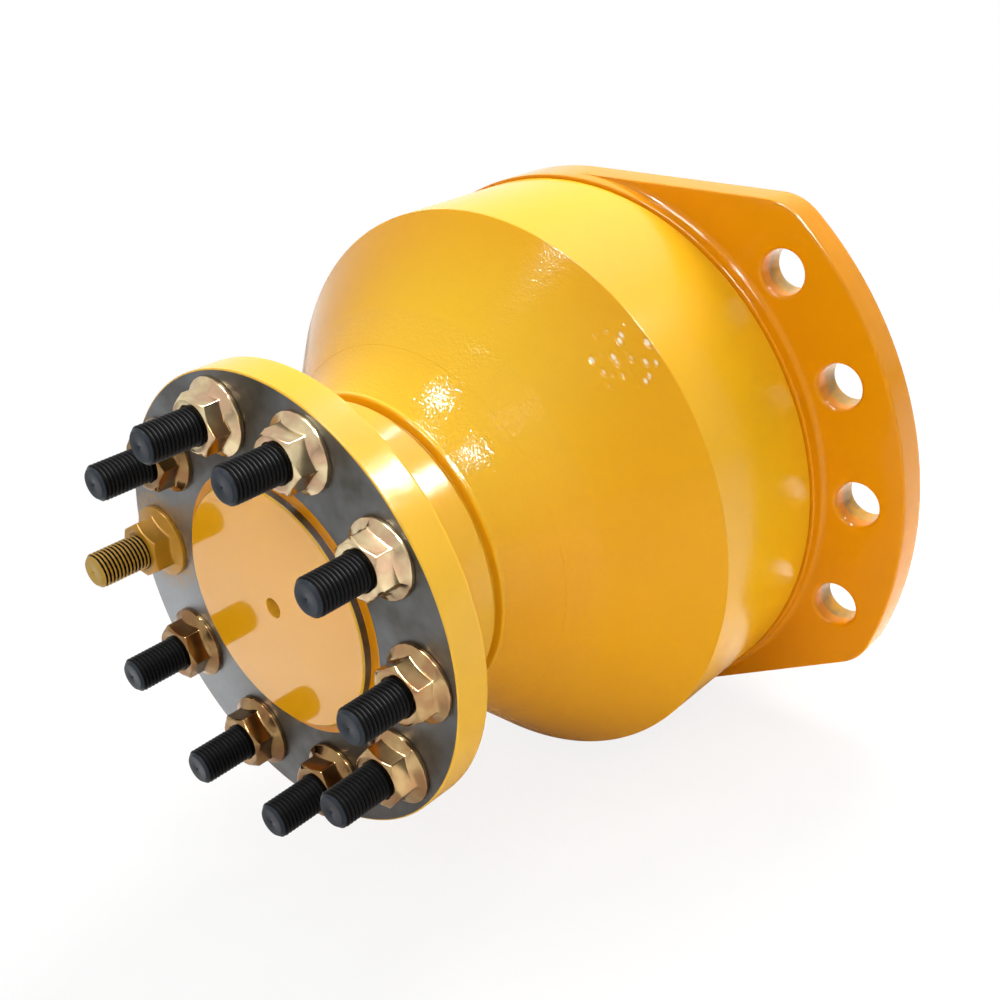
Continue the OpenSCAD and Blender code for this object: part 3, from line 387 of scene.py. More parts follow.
def enamel(
    name, base, peel, grain, roughness=0.12, flaw=None, coat=0.0, bare=None, gloss=0.2, painted_sheen=None
):
    """Machinery enamel, sprayed in one or two coats: glossy, with a soft orange peel.

    On a casting the sand's grain shows through it and breaks a highlight into sparks. On machined
    steel it lies almost flat, and highlights stay whole. peel and grain are wave length and height
    in millimetres. flaw is the middle of a patch of blowholes and its reach: drop-shaped pits whose
    pale middles are a painted glint. bare is a colour that shows where the coat is thin. The last
    argument is a paler colour painted on as sheen, with the middle and the limits of that patch.
    gloss is the specular level, and coat the weight of a last clear layer.
    """
    material, tree, place, out = fresh(name)
    cloud = add(tree, "ShaderNodeTexNoise", {"Scale": 9.0, "Detail": 2.0}, {"Vector": place})
    tint = add(
        tree, "ShaderNodeMix", {"data_type": "RGBA", 6: list(base), 7: [c * 0.9 for c in base[:3]] + [1]},
        {0: cloud.outputs["Fac"]},
    )
    # painted sheen: a paler colour near a spot, fading out between two distances
    if painted_sheen:
        pale, spot, inner, outer = painted_sheen
        off = add(tree, "ShaderNodeVectorMath", {"operation": "DISTANCE", 1: spot}, {0: place})
        share = add(
            tree, "ShaderNodeMapRange",
            {
                "interpolation_type": "SMOOTHSTEP", "From Min": inner, "From Max": outer,
                "To Min": 1.0, "To Max": 0.0,
            },
            {"Value": off.outputs["Value"]},
        )
        tint = add(
            tree, "ShaderNodeMix", {"data_type": "RGBA", 7: list(pale)},
            {0: share.outputs["Result"], 6: tint.outputs[2]},
        )
    if bare:
        wear_and_painted_reflection = add(tree, "ShaderNodeTexNoise", {"Scale": 1 / (9 * MM), "Detail": 3.0}, {"Vector": place})
        thin = add(
            tree, "ShaderNodeMapRange", {"From Min": 0.36, "From Max": 0.68}, {"Value": wear_and_painted_reflection.outputs["Fac"]}
        )
        tint = add(
            tree, "ShaderNodeMix", {"data_type": "RGBA", 7: list(bare)},
            {0: thin.outputs["Result"], 6: tint.outputs[2]},
        )
    waves = add(
        tree, "ShaderNodeTexNoise", {"Scale": 1 / (peel[0] * MM), "Detail": 1.5}, {"Vector": place}
    )
    sand = add(
        tree, "ShaderNodeTexNoise", {"Scale": 1 / (grain[0] * MM), "Detail": 1.0}, {"Vector": place}
    )
    high = add(tree, "ShaderNodeMath", {"operation": "MULTIPLY", 1: peel[1]}, {0: waves.outputs["Fac"]})
    height = add(
        tree, "ShaderNodeMath", {"operation": "MULTIPLY_ADD", 1: grain[1]},
        {0: sand.outputs["Fac"], 2: high.outputs[0]},
    )
    if flaw:
        run, stretch, spacing = math.radians(-33), 1.9, 5 * MM
        # the pits' pale middles are a painted glint
        painted_glint = linear("f4e6c4")
        drawn = add(
            tree, "ShaderNodeMapping",
            {"vector_type": "TEXTURE", "Rotation": (0, run, 0), "Scale": (1, 1, stretch)},
            {"Vector": place},
        )
        cell = add(tree, "ShaderNodeTexVoronoi", {"Scale": 1 / spacing}, {"Vector": drawn.outputs[0]})
        away = add(tree, "ShaderNodeVectorMath", {"operation": "DISTANCE", 1: flaw[0]}, {0: place})
        size = add(
            tree, "ShaderNodeMapRange",
            {"From Min": 0.75 * flaw[1], "From Max": flaw[1], "To Min": 0.55, "To Max": 0.001},
            {"Value": away.outputs["Value"]},
        )
        pit = add(
            tree, "ShaderNodeMapRange",
            {"interpolation_type": "SMOOTHERSTEP", "From Min": 0.0, "To Min": -0.62, "To Max": 0.0},
            {"Value": cell.outputs["Distance"], "From Max": size.outputs["Result"]},
        )
        height = add(
            tree, "ShaderNodeMath", {"operation": "ADD"}, {0: height.outputs[0], 1: pit.outputs["Result"]}
        )
        painted_glint_share = add(
            tree, "ShaderNodeMapRange", {"From Min": -0.55, "From Max": -0.3, "To Min": 0.9, "To Max": 0.0},
            {"Value": pit.outputs["Result"]},
        )
        tint = add(
            tree, "ShaderNodeMix", {"data_type": "RGBA", 7: painted_glint},
            {0: painted_glint_share.outputs["Result"], 6: tint.outputs[2]},
        )
    bump = add(tree, "ShaderNodeBump", {"Strength": 1.0, "Distance": MM}, {"Height": height.outputs[0]})
    dull = add(
        tree, "ShaderNodeMapRange", {"To Min": roughness - 0.02, "To Max": roughness + 0.04},
        {"Value": cloud.outputs["Fac"]},
    )
    shader = add(
        tree, "ShaderNodeBsdfPrincipled",
        {
            "IOR": 1.5, "Specular IOR Level": gloss,
            "Coat Weight": coat, "Coat IOR": 1.5, "Coat Roughness": 0.05,
        },
        {"Base Color": tint.outputs[2], "Roughness": dull.outputs["Result"], "Normal": bump.outputs[0]},
    )
    tree.links.new(shader.outputs[0], out.inputs["Surface"])
    return material


def metal(name, base, roughness, grain_mm, grain_depth_mm, stain=0.25, metallic=1.0, gloss=0.5):
    """Bare or plated metal: a fine grain, and stains that darken and dull it.

    gloss is the specular level of what isn't metallic, such as an oxide or a mist of enamel.
    """
    material, tree, place, out = fresh(name)
    grain = add(
        tree, "ShaderNodeTexNoise", {"Scale": 1 / (grain_mm * MM), "Detail": 2.0}, {"Vector": place}
    )
    cloud = add(tree, "ShaderNodeTexNoise", {"Scale": 45.0, "Detail": 4.0}, {"Vector": place})
    tint = add(
        tree, "ShaderNodeMix",
        {"data_type": "RGBA", 6: list(base), 7: [c * (1 - stain) for c in base[:3]] + [1]},
        {0: cloud.outputs["Fac"]},
    )
    dull = add(
        tree, "ShaderNodeMapRange", {"To Min": roughness - 0.06, "To Max": roughness + 0.1},
        {"Value": cloud.outputs["Fac"]},
    )
    bump = add(
        tree, "ShaderNodeBump", {"Strength": 0.4, "Distance": grain_depth_mm * MM},
        {"Height": grain.outputs["Fac"]},
    )
    shader = add(
        tree, "ShaderNodeBsdfPrincipled", {"Metallic": metallic, "Specular IOR Level": gloss},
        {"Base Color": tint.outputs[2], "Roughness": dull.outputs["Result"], "Normal": bump.outputs[0]},
    )
    tree.links.new(shader.outputs[0], out.inputs["Surface"])
    return material


def turned_face(name, base, mist, roughness, mark_mm, mark_depth_mm):
    """A face turned on a lathe: fine rings about the shaft, oily clouds that also paint dark reflections,
    and a painted reflection as a paler patch.

    It looks dark and clouded beside the bright nuts. A mist of enamel lies around the one stud
    that was sprayed along with the flange.
    """
    s = sizes()
    # the middle of a paler patch on the face: a painted reflection of the bright surroundings
    painted_reflection_spot = (-0.13, -face_h(), -0.02)
    material, tree, place, out = fresh(name)
    split = add(tree, "ShaderNodeSeparateXYZ", None, {0: place})
    flat = add(tree, "ShaderNodeCombineXYZ", None, {0: split.outputs[0], 1: split.outputs[2]})
    away = add(tree, "ShaderNodeVectorMath", {"operation": "LENGTH"}, {0: flat.outputs[0]})
    scaled = add(
        tree, "ShaderNodeMath", {"operation": "MULTIPLY", 1: 1 / (mark_mm * MM)}, {0: away.outputs["Value"]}
    )
    marks = add(
        tree, "ShaderNodeTexNoise", {"noise_dimensions": "1D", "Scale": 1.0, "Detail": 2.0},
        {"W": scaled.outputs[0]},
    )
    cloud = add(
        tree, "ShaderNodeTexNoise", {"Scale": 14.0, "Detail": 4.0, "Roughness": 0.6}, {"Vector": place}
    )
    speck = add(tree, "ShaderNodeTexNoise", {"Scale": 260.0, "Detail": 3.0}, {"Vector": place})
    pale = add(tree, "ShaderNodeVectorMath", {"operation": "DISTANCE", 1: painted_reflection_spot}, {0: place})
    wear_and_painted_reflection = add(
        tree, "ShaderNodeMapRange", {"From Min": 0.02, "From Max": 0.13, "To Min": 1.0, "To Max": 0.0},
        {"Value": pale.outputs["Value"]},
    )
    wide = add(
        tree, "ShaderNodeMapRange", {"From Min": 0.38, "From Max": 0.62}, {"Value": cloud.outputs["Fac"]}
    )
    # dark clouds: oily stains that also stand in for reflections of dark surroundings
    oil_and_dark_reflection = [base[0] * 0.42, base[1] * 0.38, base[2] * 0.31, 1]
    first = add(
        tree, "ShaderNodeMix", {"data_type": "RGBA", 6: oil_and_dark_reflection, 7: list(base)}, {0: wide.outputs["Result"]}
    )
    tint = add(
        tree, "ShaderNodeMix", {"data_type": "RGBA", 7: [c * 1.85 for c in base[:3]] + [1]},
        {0: wear_and_painted_reflection.outputs["Result"], 6: first.outputs[2]},
    )
    dull = add(
        tree, "ShaderNodeMapRange", {"To Min": roughness - 0.08, "To Max": roughness + 0.1},
        {"Value": speck.outputs["Fac"]},
    )
    bump = add(
        tree, "ShaderNodeBump", {"Strength": 0.5, "Distance": mark_depth_mm * MM},
        {"Height": marks.outputs["Fac"]},
    )
    at = s.stud_turn + MISTED * TURN / s.stud_count
    stud = (s.stud_circle_r * math.cos(at), -face_h(), s.stud_circle_r * math.sin(at))
    reach_out = add(tree, "ShaderNodeVectorMath", {"operation": "DISTANCE", 1: stud}, {0: place})
    near = add(
        tree, "ShaderNodeMapRange",
        {"From Min": 24 * MM, "From Max": 36 * MM, "To Min": 0.62, "To Max": 0.0},
        {"Value": reach_out.outputs["Value"]},
    )
    drops = add(
        tree, "ShaderNodeMapRange", {"From Min": 0.36, "From Max": 0.6}, {"Value": speck.outputs["Fac"]}
    )
    sprayed = add(
        tree, "ShaderNodeMath", {"operation": "MULTIPLY"},
        {0: near.outputs["Result"], 1: drops.outputs["Result"]},
    )
    coloured = add(
        tree, "ShaderNodeMix", {"data_type": "RGBA", 7: list(mist)},
        {0: sprayed.outputs[0], 6: tint.outputs[2]},
    )
    bare = add(tree, "ShaderNodeMath", {"operation": "SUBTRACT", 0: 1.0}, {1: sprayed.outputs[0]})
    shader = add(
        tree, "ShaderNodeBsdfPrincipled", None,
        {
            "Base Color": coloured.outputs[2], "Roughness": dull.outputs["Result"],
            "Normal": bump.outputs[0], "Metallic": bare.outputs[0],
        },
    )
    tree.links.new(shader.outputs[0], out.inputs["Surface"])
    return material


def passivated(name, base):
    """Yellow chromate on bright zinc: a thin film whose colour drifts from gold to pink and green."""
    material, tree, place, out = fresh(name)
    cloud = add(tree, "ShaderNodeTexNoise", {"Scale": 70.0, "Detail": 2.0}, {"Vector": place})
    pink = [base[0] * 1.1, base[1] * 0.86, base[2] * 1.0, 1]
    green = [base[0] * 0.3, base[1] * 0.31, base[2] * 0.14, 1]
    first = add(
        tree, "ShaderNodeMix", {"data_type": "RGBA", 6: pink, 7: green}, {0: cloud.outputs["Fac"]}
    )
    wide = add(
        tree, "ShaderNodeMapRange", {"From Min": 0.4, "From Max": 0.62}, {"Value": cloud.outputs["Fac"]}
    )
    tint = add(
        tree, "ShaderNodeMix", {"data_type": "RGBA", 7: list(base)},
        {0: wide.outputs["Result"], 6: first.outputs[2]},
    )
    wave = add(tree, "ShaderNodeTexNoise", {"Scale": 160.0, "Detail": 2.0}, {"Vector": place})
    bump = add(
        tree, "ShaderNodeBump", {"Strength": 0.35, "Distance": 0.1 * MM}, {"Height": wave.outputs["Fac"]}
    )
    shader = add(
        tree, "ShaderNodeBsdfPrincipled", {"Metallic": 1.0, "Roughness": 0.16},
        {"Base Color": tint.outputs[2], "Normal": bump.outputs[0]},
    )
    tree.links.new(shader.outputs[0], out.inputs["Surface"])
    return material


def polymer(name, base, roughness):
    """Moulded rubber or filled PTFE: matt, with a fine mottled grain."""
    material, tree, place, out = fresh(name)
    grain = add(tree, "ShaderNodeTexNoise", {"Scale": 700.0, "Detail": 2.0}, {"Vector": place})
    tint = add(
        tree, "ShaderNodeMix",
        {"data_type": "RGBA", 6: list(base), 7: [c * 1.4 for c in base[:3]] + [1]},
        {0: grain.outputs["Fac"]},
    )
    bump = add(
        tree, "ShaderNodeBump", {"Strength": 0.4, "Distance": 0.05 * MM}, {"Height": grain.outputs["Fac"]}
    )
    shader = add(
        tree, "ShaderNodeBsdfPrincipled", {"Roughness": roughness},
        {"Base Color": tint.outputs[2], "Normal": bump.outputs[0]},
    )
    tree.links.new(shader.outputs[0], out.inputs["Surface"])
    return material


def sizes():
    """The sizes of the pieces that the photograph shows."""
    return bpy.context.scene.motor_sizes


def seats():
    """The sizes of shaft and housing inside."""
    return bpy.context.scene.motor_seats


def colours():
    """The colours of the finishes."""
    return bpy.context.scene.motor_colours


def face_h():
    """Distance of the wheel flange's face from the rear face of the plate."""
    return front("wheel_shaft") - sizes().pilot_h


class MOTOR_OT_wheel_shaft(bpy.types.Operator):
    """Wheel flange with pilot, filleted back, hub, and the shaft inside the housing"""

    bl_idname = "motor.wheel_shaft"
    bl_label = "Wheel shaft"

    def execute(self, context):
        c = colours()
        paint, steel, disc, ring = 0, 1, 2, 3
        corners = self.flange(paint, steel, disc, ring) + self.inside(steel)
        points, faces, kinds = turned(corners, closed=False, steps=320)
        # whole, soft highlights on rim and hub over a paler enamel, itself painted sheen; dark clouded
        # steel with painted reflections; a wet, even coat that mirrors the studs on the pilot; the plate's
        # deeper yellow on the ring around it
        materials = [
            enamel("flange_enamel", c.enamel, (6, 0.12), (1.6, 0.006), 0.17),
            turned_face("turned_steel", c.steel, c.overspray, 0.42, 0.9, 0.02),
            enamel("pilot_enamel", c.enamel_thin, (30, 0.05), (2, 0.001), coat=1.0),
            enamel("ring_enamel", c.enamel_plate, (5, 0.05), (1.5, 0.01)),
        ]
        build("wheel_flange", points, faces, kinds, materials, "rotor", ["wheel_shaft"])
        return {"FINISHED"}

    def flange(self, paint, steel, disc, ring):
        """Corners from the centre hole over pilot and flange down to the hub's recess."""
        s, seat = sizes(), seats()
        face = face_h()
        top = face + s.pilot_h
        back = face - s.flange_t
        hub = back - s.hub_len
        bevel, crisp, broken = 1 * MM, 0.3 * MM, 0.5 * MM
        return [
            (0, top - seat.centre_hole_tip, 0, paint),
            (s.centre_hole_r, top - seat.centre_hole_depth, broken, paint),
            (s.centre_hole_r, top, broken, disc),
            (s.pilot_r - bevel, top, crisp, paint),
            (s.pilot_r, top - bevel, crisp, steel),
            (s.pilot_r, face, 0.4 * MM, ring),
            (s.pilot_r + s.paint_ring, face, 0, steel),
            (s.flange_r, face, 0.9 * MM, paint),
            (s.flange_r, back, 2.4 * MM, paint),
            (s.hub_r, back, s.flange_fillet, paint),
            (s.hub_r, hub, 1 * MM, paint),
            (seat.recess_r, hub, broken, paint),
            (seat.recess_r, hub + seat.recess_len, broken, paint),
            (seat.seal_journal_r, hub + seat.recess_len, 1 * MM, steel),
        ]

    def inside(self, steel):
        """Corners of the shaft from the seal's journal to its rear end: two at each step."""
        seat = seats()
        broken = 0.5 * MM
        steps = [
            (seat.seal_journal_r, seat.seal_journal_h), (seat.front_journal_r, seat.front_journal_h),
            (seat.land_r, seat.land_h), (seat.rear_journal_r, seat.rear_journal_h),
            (seat.thread_r, seat.thread_h), (seat.spline_r, seat.spline_h),
        ]
        corners = []
        for (r, end), (next_r, _) in zip(steps, steps[1:]):
            corners += [(r, end, broken, steel), (next_r, end, broken, steel)]
        return corners + [(seat.spline_r, seat.spline_h, 1 * MM, steel), (0, seat.spline_h, 0, steel)]


class MOTOR_OT_housing(bpy.types.Operator):
    """Bearing housing: cast cone and neck, machined cylinder"""

    bl_idname = "motor.housing"
    bl_label = "Bearing housing"

    def execute(self, context):
        s, c = sizes(), colours()
        foot = s.crease_h + s.body_r - s.collar_r
        collar = foot + s.collar_len
        cast, smooth, bare, ground = 0, 1, 2, 3
        corners = self.body(cast, smooth) + self.neck(foot, ground) + self.inside(collar, smooth, bare)
        points, faces, kinds = turned(corners, closed=True, steps=384)
        # blowholes whose pale middles are a painted glint
        blowholes = ((0.146, -0.134, 0.092), 24 * MM)
        # painted sheen: paler enamel from the top of the neck, fading out over the cone
        painted_sheen = (c.enamel_painted_sheen, (0.05, -0.21, 0.1), 30 * MM, 150 * MM)
        # the cone's calm sand skin with its blowholes, the smooth turned cylinder, and the neck's
        # rough skin, on which lamps break into sparks
        materials = [
            enamel(
                "cast_enamel", c.enamel_cast, (5, 0.07), (1.4, 0.06), 0.1,
                flaw=blowholes, gloss=0.13, painted_sheen=painted_sheen,
            ),
            enamel("body_enamel", c.enamel_body, (8, 0.08), (1.6, 0.004), 0.16),
            metal("machined_iron", linear("8a8c8d"), 0.4, 0.8, 0.02),
            enamel("neck_enamel", c.enamel_cast, (5, 0.1), (1.7, 0.2), 0.07, painted_sheen=painted_sheen),
        ]
        build(
            "housing_casting", points, faces, kinds, materials, "motor_body", ["bearing_housing"]
        )
        return {"FINISHED"}

    def body(self, cast, smooth):
        """Corners of the seam's groove, the cylinder and the crease."""
        s = sizes()
        groove_r = s.body_r - s.seam_depth
        groove_end = s.seam_h + s.seam_w
        return [
            (s.body_r - seats().cam_wall, s.seam_h, 0, smooth),
            (groove_r, s.seam_h, 0.2 * MM, smooth),
            (groove_r, groove_end, 0.2 * MM, smooth),
            (s.body_r, groove_end, 0.5 * MM, smooth),
            (s.body_r, s.crease_h, 0.9 * MM, cast),
        ]

    def neck(self, foot, ground):
        """Corners along the wide fillet: an arc of radius R that touches the cone of 45 degrees.

        It starts from the collar at the slope b where cos(45 - b) = 1 - L sin 45 / R, L above the
        point where cone and collar would meet.
        """
        s = sizes()
        cone = math.pi / 4
        rise = s.collar_len - s.collar_land
        first = cone - math.acos(1 - rise * math.sin(cone) / s.neck_fillet)
        middle_r = s.collar_r + s.neck_fillet * math.cos(first)
        middle_h = foot + rise + s.neck_fillet * math.sin(first)
        slopes = np.linspace(cone, first, 9)
        r = middle_r - s.neck_fillet * np.cos(slopes)
        h = middle_h - s.neck_fillet * np.sin(slopes)
        spread, step = s.neck_spread, s.neck_step
        edge = [(r[0] + spread, h[0] - spread, 0, ground), (r[0] + step, h[0] - step, 0.1 * MM, ground)]
        return edge + [(a, b - step, 2 * MM if b == h[-1] else 0, ground) for a, b in zip(r, h)]

    def inside(self, collar, smooth, bare):
        """Corners from the collar's face over lip, bearing seats, boss and hollow to the cam ring."""
        s, seat = sizes(), seats()
        lip = collar + seat.lip_len
        broken = 0.5 * MM
        return [
            (s.collar_r, collar, 1.4 * MM, smooth),
            (seat.lip_r, collar, broken, smooth),
            (seat.lip_r, lip, 0.4 * MM, bare),
            (seat.front_seat_r, lip, 0.4 * MM, bare),
            (seat.front_seat_r, seat.front_seat_h, 0, bare),
            (seat.shoulder_r, seat.front_seat_h, broken, bare),
            (seat.shoulder_r, seat.rear_seat_h, broken, bare),
            (seat.rear_seat_r, seat.rear_seat_h, 0, bare),
            (seat.rear_seat_r, seat.boss_h, broken, bare),
            (seat.boss_r, seat.boss_h, 1 * MM, bare),
            (seat.boss_r, seat.hollow_h, 4 * MM, bare),
            (seat.hollow_slope_r, seat.hollow_h, 4 * MM, bare),
            (seat.hollow_r, seat.hollow_slope_h, 3 * MM, bare),
            (seat.hollow_r, seat.cam_seat_h, broken, bare),
            (s.body_r - seat.cam_wall, seat.cam_seat_h, 0, bare),
        ]


def plate_outline(steps=720):
    """Distance of the plate's edge from the shaft, at evenly spaced angles.

    It is the least of the straight edge's line, R / cos(angle from its normal), and the ear's arc.
    A corner is a circle that touches both from inside. Its distance is the farther root of the
    line from the shaft through it.
    """
    s = sizes()
    a = np.arange(steps) * TURN / steps
    folded = np.abs((a + math.pi / 2) % math.pi - math.pi / 2)
    low = np.sin(a) < 0
    near_r = np.where(low, s.plate_low_r, s.plate_round_r)
    normal = math.pi / 2 - np.where(low, s.ear_slope_low, s.ear_slope)
    gap = normal - folded
    line = np.where(gap > 0, near_r / np.cos(np.clip(gap, 0, 1.4)), near_r)
    edge = np.minimum(line, s.ear_r)
    middle_r = s.ear_r - s.ear_corner_r
    middle_at = normal - np.arccos((near_r - s.ear_corner_r) / middle_r)
    off = folded - middle_at
    root = s.ear_corner_r**2 - (middle_r * np.sin(off)) ** 2
    circle = middle_r * np.cos(off) + np.sqrt(np.clip(root, 0, None))
    touch = np.arctan2(
        middle_r * np.sin(middle_at) + s.ear_corner_r * np.sin(normal),
        middle_r * np.cos(middle_at) + s.ear_corner_r * np.cos(normal),
    )
    within = (folded > middle_at) & (folded < touch)
    return a, np.where(within, circle, edge)


def ring_at(r, h, a):
    """A closed ring of points at radii r and distance h."""
    return np.stack([r * np.cos(a), -h + 0 * a, r * np.sin(a)], 1)


def flat_face(loops, kind):
    """A flat face with round holes, from closed loops of points: the outer one first.

    Triangles whose middle lies nearer to a hole's centre than the hole's sides are left out.
    """
    height = loops[0][0][1]
    edges, base = [], 0
    for loop in loops:
        order = np.arange(len(loop))
        edges += np.stack([base + order, base + (order + 1) % len(loop)], 1).tolist()
        base += len(loop)
    flat = list(map(Vector, np.concatenate(loops)[:, [0, 2]].tolist()))
    inside = 1
    spots, _, found, _, _, _ = delaunay_2d_cdt(flat, edges, [], inside, 1e-7)
    spots = np.array(spots)
    points = np.stack([spots[:, 0], np.full(len(spots), height), spots[:, 1]], 1)
    found = np.array(found)
    middles = points[found].mean(1)
    for hole in loops[1:]:
        centre = hole.mean(0)
        side = np.linalg.norm(hole[0] - centre) * math.cos(math.pi / len(hole))
        keep = np.linalg.norm(middles - centre, axis=1) > side
        found, middles = found[keep], middles[keep]
    return points, [found], np.full(len(found), kind)


class MOTOR_OT_plate(bpy.types.Operator):
    """Mounting plate with its raised ring, two ears and eight holes"""

    bl_idname = "motor.plate"
    bl_label = "Mounting plate"

    def execute(self, context):
        s, c = sizes(), colours()
        a, edge = plate_outline()
        clear = edge - s.plate_round_r
        bend = np.radians(np.linspace(0, 90, 7))
        ring, rim = self.ring(a, clear, bend), self.rim(a, edge, clear, bend)
        bore = s.body_r - seats().cam_wall + 0 * a
        wall = np.stack([ring_at(bore, h, a) for h in (0, s.seam_h)])
        holes = self.holes(bend)
        plate, hole = 0, 1
        parts = [self.strip(ring, plate), self.strip(rim, plate), self.strip(wall, plate)]
        deep = np.arange(holes[0].shape[0]) < len(bend)
        parts += [self.strip(h, np.where(deep, hole, plate)) for h in holes]
        near = (clear > 0.01 * MM) & (np.cos(a) > -1e-9)
        order = np.argsort((a + math.pi) % TURN)
        chosen = order[near[order]]
        for mirror in (1, -1):
            loop = np.concatenate([rim[0][chosen], ring[-1][chosen][::-1]]) * [mirror, 1, 1]
            mine = [h[-1] for h in holes if h[0, 0, 0] * mirror > 0]
            parts.append(flat_face([loop] + mine, plate))
        parts.append(flat_face([rim[-1], wall[0]] + [h[0] for h in holes], plate))
        points, faces, kinds = joined(parts)
        # deep, even yellow on the plate, which is painted shade; runs and bare primer on the hole walls
        materials = [
            enamel("plate_enamel", c.enamel_plate, (8, 0.06), (1.6, 0.004)),
            enamel("hole_enamel", c.enamel_hole, (7, 0.5), (2.5, 0.2), 0.07, bare=c.primer),
        ]
        build("plate", points, faces, kinds, materials, "motor_body", ["mounting_plate"])
        return {"FINISHED"}

    def ring(self, a, clear, bend):
        """Rows over the raised ring: its face, its rounded edge, its side and the fillet at its foot.

        Where the ears run out beside the ring, the fillet shrinks with the clear width.
        """
        s = sizes()
        top_r, soft = s.plate_round_r, s.plate_round
        fillet = np.clip(0.64 * clear, 0, s.ring_fillet)
        bore = s.body_r - seats().cam_wall
        rows = [ring_at(bore + 0 * a, s.seam_h, a), ring_at(top_r - soft - 0.4 * MM + 0 * a, s.seam_h, a)]
        rows += [
            ring_at(top_r - soft * (1 - math.sin(t)), s.seam_h - soft * (1 - math.cos(t)), a) for t in bend
        ]
        rows += [
            ring_at(top_r + fillet * (1 - math.cos(t)), s.plate_t + fillet * (1 - math.sin(t)), a)
            for t in bend
        ]
        return np.stack(rows)

    def rim(self, a, edge, clear, bend):
        """Rows down the plate's edge: its front rounding, its side and its rear rounding."""
        s = sizes()
        front_soft, soft = np.clip(0.32 * clear, 0, s.ear_round), s.plate_round
        rows = [
            ring_at(edge - front_soft * (1 - math.sin(t)), s.plate_t - front_soft * (1 - math.cos(t)), a)
            for t in bend
        ]
        rows += [ring_at(edge, soft + 0.2 * MM, a)]
        rows += [ring_at(edge - soft * (1 - math.cos(t)), soft * (1 - math.sin(t)), a) for t in bend]
        return np.stack(rows)

    def holes(self, bend):
        """Rows through each mounting hole, from the rear face to the front."""
        s = sizes()
        around = np.arange(72) * TURN / 72
        rear, entry = s.hole_round_rear, s.hole_round
        wider = np.concatenate([rear * (1 - np.sin(bend)), [0], entry * (1 - np.cos(bend))])
        level = np.concatenate([
            rear * (1 - np.cos(bend)), [s.plate_t - s.hole_cover], s.plate_t - entry * (1 - np.sin(bend))
        ])
        r, h = s.hole_r + wider[:, None], level[:, None] + 0 * around
        made = []
        for side in (0, math.pi):
            for step in (-1.5, -0.5, 0.5, 1.5):
                at = side + step * s.hole_step
                x = s.hole_circle_r * math.cos(at) + r * np.cos(around)
                z = s.hole_circle_r * math.sin(at) + r * np.sin(around)
                made.append(np.stack([x, -h, z], 2))
        return made

    def strip(self, rings, kind):
        """The faces between rings, without caps."""
        points, faces, kinds = skin(rings, np.broadcast_to(kind, len(rings)))
        return points[:-2], faces[:1], kinds[: len(faces[0])]


def on_flange(rings, at):
    """Moves rings drawn about the origin, with their height last, onto the stud's place at an angle."""
    s = sizes()
    x = rings[..., 0] + s.stud_circle_r * math.cos(at)
    z = rings[..., 1] + s.stud_circle_r * math.sin(at)
    return np.stack([x, -(face_h() + rings[..., 2]), z], -1)


def stud_rings():
    """Rings along a stud, and the finish of each: 0 on the crests, 1 on the tip, 2 in the grooves.

    The thread is a helix. The phase h / pitch - a / turn is 0.5 on a crest at height h and angle a,
    and 0 in a groove, and the radius falls by the depth on straight flanks between them. The tip's
    chamfer cuts the crests off.
    """
    s = sizes()
    free = front("wheel_studs") - face_h()
    a = np.arange(44) * TURN / 44
    start = s.nut_h - 3 * MM
    h = np.arange(start, free, s.thread_pitch / 16)[:, None]
    phase = (h / s.thread_pitch - a / TURN) % 1
    depth = 0.5 * s.thread_pitch
    crest, flank = 0.12, 0.76
    fall = np.clip((np.abs(phase - 0.5) * 2 - crest) / flank, 0, 1)
    chamfer = s.stud_r - np.clip(h - (free - s.stud_chamfer), 0, None)
    r = np.minimum(s.stud_r - depth * fall, chamfer)
    body = np.stack([r * np.cos(a), r * np.sin(a), h + 0 * a], 2)
    tip_r = s.stud_r - s.stud_chamfer
    end = [(tip_r, 0), (tip_r - 0.25 * MM, 0), (tip_r - 0.6 * MM, 0)]
    dimple = [(1.3 * MM, 0), (0.9 * MM, -0.3 * MM), (0.3 * MM, -0.7 * MM)]
    spots = np.array(end + dimple)
    tip = np.stack(
        [spots[:, :1] * np.cos(a), spots[:, :1] * np.sin(a), free + spots[:, 1:] + 0 * a], 2
    )
    core = s.stud_r - 0.5 * MM
    low = np.array([-s.stud_foot, start - 0.1 * MM])[:, None]
    foot = np.stack([core * np.cos(a) + 0 * low, core * np.sin(a) + 0 * low, low + 0 * a], 2)
    rings = np.concatenate([foot, body, tip])
    kinds = np.zeros(rings.shape[:2], int)
    last = len(foot) + len(body)
    kinds[len(foot) : last] = np.where(fall > 0.45, 2, 0)
    kinds[len(foot) : last][h[:, 0] > free - 0.7 * s.stud_chamfer] = 1
    kinds[last - 1 :] = 1
    return rings, kinds


def hexagon(turn):
    """Distance and angle of the points of a nut's hexagon, with rounded corners."""
    s = sizes()
    soft = 0.9 * MM
    middle = (s.nut_af / 2 - soft) / math.cos(math.pi / 6)
    corner = np.arange(6) * TURN / 6
    fan = np.radians(np.linspace(-30, 30, 7))
    arcs = middle * np.exp(1j * corner)[:, None] + soft * np.exp(1j * (corner[:, None] + fan))
    ends, starts = arcs[:, -1:], np.roll(arcs[:, :1], -1, 0)
    between = np.array([0.03, 0.25, 0.5, 0.75, 0.97])
    outline = np.concatenate([arcs, ends + (starts - ends) * between], 1).ravel()
    return np.abs(outline), np.angle(outline) + turn


